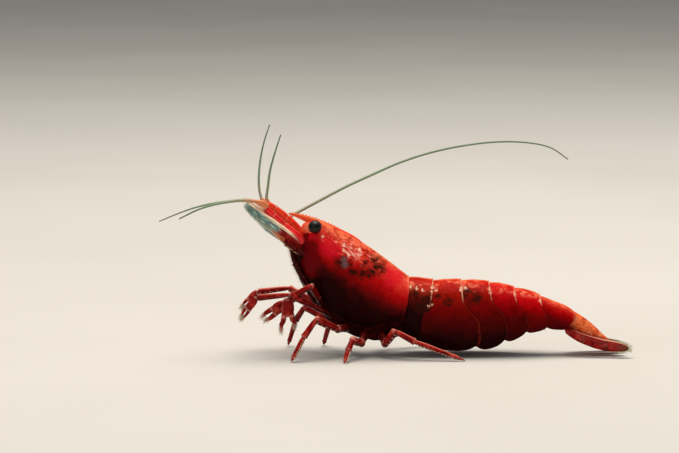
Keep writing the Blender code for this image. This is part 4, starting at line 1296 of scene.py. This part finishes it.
# each feeler's line, its (share of the length, radius) steps, and where its orange and cream parts end
feelers = {
    "antennule_outer_left": {
        "nodes": ["feeler_antennule_outer_left"],
        "line": [
            (0.64, -9.95, 11.98), (0.86, -10.55, 12.38), (1.20, -11.72, 12.58), (1.75, -12.81, 12.59),
            (2.50, -14.37, 12.37), (3.05, -15.61, 12.00), (3.50, -17.01, 11.35),
        ],
        "radii": [(0, 0.30), (0.07, 0.27), (0.15, 0.16), (1, 0.055)],
        "orange": 0.13, "cream": 0.34, "root": "#ff8a52",
    },
    "antennule_inner_left": {
        "nodes": ["feeler_antennule_inner_left"],
        "line": [
            (0.50, -10.00, 11.80), (0.44, -10.55, 12.16), (0.45, -11.42, 12.55), (0.90, -12.84, 12.53),
            (1.40, -14.41, 12.37), (1.90, -15.98, 12.03), (2.35, -17.54, 11.49), (2.60, -18.64, 11.04),
        ],
        "radii": [(0, 0.24), (0.08, 0.19), (0.16, 0.12), (1, 0.045)],
        "orange": 0.07, "cream": 0.22, "root": "#ffb088",
    },
    "antennule_outer_right": {
        "nodes": ["feeler_antennule_outer_right"],
        "line": [
            (-0.60, -10.00, 12.10), (-0.64, -10.12, 12.62), (-0.85, -10.01, 13.52), (-1.10, -9.85, 14.71),
            (-1.30, -9.49, 16.06), (-1.50, -8.97, 17.65),
        ],
        "radii": [(0, 0.24), (0.05, 0.20), (0.09, 0.13), (1, 0.05)],
        "orange": 0.05, "cream": 0.10, "root": "#f8a888",
    },
    "antennule_inner_right": {
        "nodes": ["feeler_antennule_inner_right"],
        "line": [
            (-0.46, -10.20, 12.15), (-0.52, -10.52, 12.55), (-0.80, -10.72, 13.37), (-1.10, -10.73, 14.63),
            (-1.50, -10.54, 16.12), (-1.80, -10.22, 17.38), (-2.00, -9.86, 18.41),
        ],
        "radii": [(0, 0.24), (0.05, 0.20), (0.09, 0.12), (1, 0.045)],
        "orange": 0.05, "cream": 0.10, "root": "#f8a888",
    },
    "antenna_left": {
        "nodes": ["feeler_antenna_left_near", "feeler_antenna_left_far"],
        "line": [
            (1.15, -8.60, 9.34), (1.60, -8.96, 9.64), (3.00, -9.42, 10.22), (5.50, -9.85, 10.90),
            (8.00, -10.16, 11.46), (10.00, -10.37, 11.92), (12.00, -10.54, 12.34), (14.25, -10.67, 12.76),
        ],
        "radii": [(0, 0.20), (0.08, 0.14), (1, 0.05)],
        "orange": 0.12, "cream": 0.28, "root": "#b04a20",
    },
    "antenna_right": {
        "nodes": ["feeler_antenna_right_near", "feeler_antenna_right_far"],
        "line": [
            (-1.12, -8.55, 9.62), (-1.40, -8.72, 9.95), (-1.90, -8.62, 10.45), (-2.35, -8.20, 10.90),
            (-2.70, -7.47, 11.29), (-3.40, -6.02, 11.99), (-4.40, -3.83, 13.04), (-5.50, -1.63, 13.94),
            (-6.70, 0.68, 14.82), (-7.90, 3.17, 15.50), (-9.30, 5.85, 15.93), (-10.60, 8.64, 16.13),
            (-11.70, 11.20, 15.99), (-12.60, 13.35, 15.48), (-13.30, 15.01, 14.36),
        ],
        "radii": [(0, 0.27), (0.045, 0.25), (0.07, 0.14), (0.3, 0.12), (1, 0.05)],
        "orange": 0.055, "cream": 0.075, "root": "#c4401f",
    },
}


def buildFeelers():
    for name, one in feelers.items():
        path = layLine(one["line"])
        places, radii = zip(*one["radii"])
        radius = profile(radii, 0.01, 0.01, places)
        rings = path["length"] / ringLength
        rows = int(min(240, max(70, path["length"] * 7)))  # seven to the millimetre where that suits
        piece = layGrid(f"flagellum_{name}", rows, 10, tubePlace(path, radius))
        look = feelerChitin(f"feelerChitin_{name}", rings, one["orange"], one["cream"], one["root"])
        finish(piece, look, "grey-green feeler", *one["nodes"])


tailFan = {
    "telson": {
        "line": [
            (0.0, 14.05, 3.12), (0.0, 14.45, 2.87), (0.0, 15.60, 2.12), (0.0, 17.00, 1.18), (0.0, 17.95, 0.78)
        ],
        "half": [0.62, 0.62, 0.58, 0.42, 0.28], "up": (0, 0.45, 1),
        "thick": [0.60, 0.62, 0.50, 0.30, 0.14], "rib": 0.0, "roof": 1.0,
    },
    "inner": {
        "line": [
            (0.38, 13.90, 2.10), (0.40, 14.25, 1.95), (0.48, 15.20, 1.55), (0.62, 17.00, 0.86),
            (0.74, 18.45, 0.52),
        ],
        "half": [0.26, 0.28, 0.34, 0.36, 0.28], "up": (0, 0.45, 1),
        "thick": [0.22, 0.20, 0.16, 0.12, 0.08], "rib": 0.1, "roof": 0.3,
    },
    "farDrop": 0.36,  # the right half is folded a little lower at its tip
    "lowest": 0.36,  # what its middle line keeps above the floor
    "thinnest": 0.045,
    "outer": {
        "line": [
            (0.92, 13.75, 2.18), (1.24, 14.90, 1.58), (1.50, 16.50, 1.07), (1.72, 17.70, 0.90),
            (1.88, 18.85, 0.77),
        ],
        "half": [0.30, 0.46, 0.54, 0.52, 0.34],
        "up": (math.sin(math.radians(50)), 0.4, math.cos(math.radians(50))),
        "thick": [0.22, 0.18, 0.15, 0.12, 0.08], "rib": 0.88, "roof": 0.2,
    },
}


def finBlade(name, fin, side):
    up = (side * fin["up"][0], fin["up"][1], fin["up"][2])
    points = mirrored(fin["line"], side)
    if side < 0:
        drops = tailFan["farDrop"] * np.linspace(0, 1, len(points)) ** 1.3
        points = [(x, y, max(z - drop, tailFan["lowest"])) for (x, y, z), drop in zip(points, drops)]
    path = layLine(points, flatWay=up)
    midline = readLine(path, np.array([0.5]), "across")[0][0] * side
    inner = 1 if midline < 0 else -1  # the edge next to the midline
    wide = profile(fin["half"], 0.08, 0.14)
    rib = lambda v: bump(fin["rib"], 0.16, inner * np.cos(2 * math.pi * v))
    deep = lambda u: np.interp(u, np.linspace(0, 1, len(fin["thick"])), fin["thick"])
    # flat blades have a rib; the telson is full over its whole width
    form = lambda v: fin["roof"] + (1 - fin["roof"]) * (0.35 + 0.65 * rib(v))
    thick = lambda u, v: np.maximum(deep(u) * form(v), tailFan["thinnest"]) * rounded(u, 0.08, 0.06)
    mark = {"rib": lambda u, v: rib(v) * blend(0.02, 0.2, u) * (fin["rib"] > 0)}
    return layGrid(name, 46, 40, tubePlace(path, wide, thick), marks=mark), path, wide, inner


def buildTailFan(pale):
    orange = finChitin("telsonChitin", "#ff8048", "#d0401c", "#8a5a36", "#ffae7c", tipFrom=0.80, mottleAndGlints=0.55)
    dark = finChitin("uropodChitin", "#8c0402", "#520202", "#5c2a1c", "#f09a84")
    middle = finChitin("innerUropodChitin", "#c0482a", "#86200f", "#8d6a4a", "#e58a60")
    hairs = []
    blade, path, wide, _ = finBlade("telsonBlade", tailFan["telson"], 1)
    finish(blade, orange, "red shell", "telson")
    # pairs of spinules, then the end bristles
    u = np.r_[np.repeat(np.linspace(0.35, 0.9, 5), 2), np.full(10, 0.99)]
    edge = np.r_[np.tile((-0.7, 0.7), 5), np.linspace(-0.9, 0.9, 10)]
    line, way, across, out = readLine(path, u, "line", "ways", "across", "out")
    upward = out * np.sign(out[:, 2:3])
    size = np.r_[np.full(10, 0.2), np.full(10, 0.45)]
    roots = line + across * (edge * wide(u))[:, None] + upward * 0.05
    spines = growSetae("telsonSpines", (roots, way + upward * 0.15, np.c_[u, 0.5 + edge * 0.4], size))
    finish(spines, pale, "red shell")
    for word, side in sides.items():
        for kind, look in (("inner", middle), ("outer", dark)):
            blade, path, wide, inner = finBlade(f"fan_{kind}_{word}", tailFan[kind], side)
            finish(blade, look, "red shell", f"uropod_{kind}_{word}")
            # the fringe is longest round the tip and runs back along the inner edge
            u = np.r_[np.linspace(0.45, 0.97, 70), np.full(36, 0.965), np.linspace(0.97, 0.80, 16)]
            edge = np.r_[np.full(70, 1.0), np.linspace(1.0, -1.0, 36), np.full(16, -1.0)] * inner
            line, way, across = readLine(path, u, "line", "ways", "across")
            tip = np.sqrt(np.clip(1 - np.abs(edge) ** 2, 0, 1))
            roots = line + across * (edge * wide(u) * 0.97)[:, None] + way * (tip * 0.06)[:, None]
            size = 0.16 + 0.26 * blend(0.5, 0.95, u)
            hairs.append((roots, way + across * (edge * 0.35)[:, None], np.c_[u, 0.5 + 0.45 * edge], size))
    finish(growSetae("tailFringe", *hairs), setaMaterial("tailSetae", "#9a9c78", "#d2d4b4"), "red shell")


swimmeret = {
    "lengths": [0.95, 1.25, 1.15, 0.95, 0.75],
    "bellyDepth": 0.62,
    "stem": 0.5,
    "halfWidth": 0.30,
    "away": (0, 0.62, -0.785),
}


def buildSwimmerets(pale):
    look = limbChitin("swimmeretChitin", "#a32a20", "#5c120d", "#c4553c", "#d9a184")
    away = unit(swimmeret["away"])
    hairs = []
    for index, length in enumerate(swimmeret["lengths"]):
        backY, backZ, lowY, lowZ, half = along(abdomen["stations"], np.array(index + 0.5))
        depth = swimmeret["bellyDepth"]
        root = np.array((0, backY + (lowY - backY) * depth + 0.25, backZ + (lowZ - backZ) * depth + 0.05))
        apart = (half - 0.5) * 0.42
        parts = []
        for side in sides.values():
            top = root + (side * apart, -0.05, 0.15)
            low = root + (side * (apart + 0.04), 0, 0) + away * (swimmeret["stem"] + 0.12)
            stem = layLine([top, (top + low) / 2, low])
            stemWide = lambda u, v: (0.22 - 0.04 * u) * rounded(u, 0.1, 0.1)
            marks = {"joint": lambda u, v: bump(0.95, 0.08, u)}
            parts.append(layGrid("stem", 12, 14, tubePlace(stem, stemWide), marks=marks))
            for lean, reach, thick in ((0.16, 1.0, 0.05), (-0.14, 0.82, 0.045)):  # outer and inner leaf
                start = low - away * 0.1 + (side * lean * 0.5, 0.08 * np.sign(lean), 0)
                end = low + away * length * reach + (side * lean, 0.05, 0)
                middle = (start + end) / 2 + (side * lean * 0.6, 0.08, 0.03)
                leaf = layLine([start, middle, end], flatWay=np.cross(away, (1, 0, 0)))
                width = profile([0.35, 0.95, 1.0, 0.5], 0.06, 0.25, [0, 0.3, 0.6, 1], swimmeret["halfWidth"])
                flat = lambda u, v: (thick + 0.04 * (1 - u)) * rounded(u, 0.06, 0.1)
                marks = {"joint": lambda u, v: blend(0.75, 1, u) * 0.5}
                parts.append(layGrid("leaf", 20, 18, tubePlace(leaf, width, flat), marks=marks))
                u = np.r_[np.linspace(0.35, 0.98, 16), np.linspace(0.98, 0.35, 16)]
                edge = np.r_[np.full(16, 1.0), np.full(16, -1.0)]
                line, way, across = readLine(leaf, u, "line", "ways", "across")
                roots = line + across * (edge * width(u))[:, None]
                hairs.append((roots, way + across * (edge * 0.5)[:, None], np.c_[u, 0.5 + 0.4 * edge]))
        finish(joined(f"swimmeretPair_{index + 1}", parts), look, "red limb", f"swimmerets_{index + 1}")
    finish(growSetae("swimmeretFringe", *hairs), pale, "red limb")


stage = {
    "floor": 3.0,
    "aim": (0, -4.28, 10.36),  # drawing millimetres
    "distance": 0.25,
    "elevation": math.radians(7),
    "lens": 165.7,
    "worldColour": "#e9e8e4",
    "worldStrength": 0.26,
    "keyPower": 1.15,
    "fillPower": 0.14,
}


def areaLight(name, place, aim, size, power, colour):
    light = bpy.data.lights.new(name, "AREA")
    light.shape = "RECTANGLE"
    light.size, light.size_y = size
    light.energy = power
    light.color = hexColour(colour)[:3]
    lamp = bpy.data.objects.new(name, light)
    lamp.location = place
    lamp.rotation_euler = (Vector(aim) - Vector(place)).to_track_quat("-Z", "Y").to_euler()
    bpy.context.scene.collection.objects.link(lamp)


def buildStage():
    bpy.ops.object.select_all(action="DESELECT")
    bpy.ops.mesh.primitive_plane_add(size=stage["floor"], location=(0, 0, 0))
    floor = bpy.context.object
    floor.name = floor.data.name = "floor"
    bpy.ops.object.mode_set(mode="EDIT")
    bpy.ops.mesh.select_all(action="SELECT")
    bpy.ops.mesh.subdivide(number_cuts=3)
    bpy.ops.object.mode_set(mode="OBJECT")
    # matt painted board: an even, soft pale grey
    material, tree = newMaterial("mattPaintedBoard", Roughness=0.85)
    tone = addNode(tree, "TexNoise", millimetres(tree), 0.02, 2.0)
    stops = [(0.3, "#dcdad5"), (0.7, "#e2e0dc")]
    floor.data.materials.append(wired(material, addNode(tree, "ValToRGB", tone, stops=stops)))

    world = bpy.data.worlds.new("studio")
    world.use_nodes = True
    background = world.node_tree.nodes["Background"]
    background.inputs["Color"].default_value = hexColour(stage["worldColour"])
    background.inputs["Strength"].default_value = stage["worldStrength"]
    bpy.context.scene.world = world

    aim = inFrame(stage["aim"])
    areaLight("keyLight", aim + (-0.03, 0.02, 0.30), aim, (0.22, 0.30), stage["keyPower"], "#fff6ea")
    areaLight("fillLight", aim + (0.34, -0.16, 0.16), aim, (0.30, 0.30), stage["fillPower"], "#f3f7ff")

    camera = bpy.data.cameras.new("camera")
    camera.lens = stage["lens"]
    camera.sensor_width = 36
    camera.clip_start = 0.001
    rig = bpy.data.objects.new("camera", camera)
    back = Vector((math.cos(stage["elevation"]), 0, math.sin(stage["elevation"])))
    rig.location = Vector(aim) + back * stage["distance"]
    rig.rotation_euler = (-back).to_track_quat("-Z", "Y").to_euler()
    bpy.context.scene.collection.objects.link(rig)
    bpy.context.scene.camera = rig
    bpy.context.scene.view_settings.view_transform = "Standard"


limbRed = limbChitin("limbChitin", "#960a08", "#460303", "#ff6e58", "#ffc4b0")
headRed = limbChitin("peduncleChitin", "#ff4828", "#c01a10", "#ff8c5c", "#ffa080", streak=0.4)
# the left peduncle has its own copy: its pink is the painted highlight along it, where the right one's is
# orange
peduncleRed = limbChitin("peduncleChitin_left", "#ff2a30", "#b81016", "#ff8078", "#ffa8a0", streak=0.4)
stemRed = limbChitin("antennaStemChitin", "#6a0606", "#2c0303", "#8a0c0a", "#8a2a18")
# the mouth legs are nearly black red, partly painted shade under the head
mouthRed = limbChitin("mouthLegChitin", "#3a0706", "#200404", "#5a100b", "#8a4a34")
paleSeta = setaMaterial("paleSetae", "#e0bfa0", "#fff0dc")
warmSeta = setaMaterial("warmSetae", "#c07a4c", "#e8c496")

buildStage()
print("stage ready")
buildCarapace()
buildRostrum()
print("carapace and beak ready")
buildAbdomen()
buildFlesh()
print("abdomen ready")
buildEyes(headRed)
buildAntennules({"left": peduncleRed, "right": headRed}, warmSeta)
buildAntennaBases(stemRed, warmSeta)
buildScales()
buildMouthLegs(mouthRed, warmSeta)
buildFeelers()
print("head ready")
buildLegs(limbRed, paleSeta)
buildArms(limbRed, paleSeta)
print("legs ready")
buildTailFan(paleSeta)
buildSwimmerets(paleSeta)
print("tail ready")
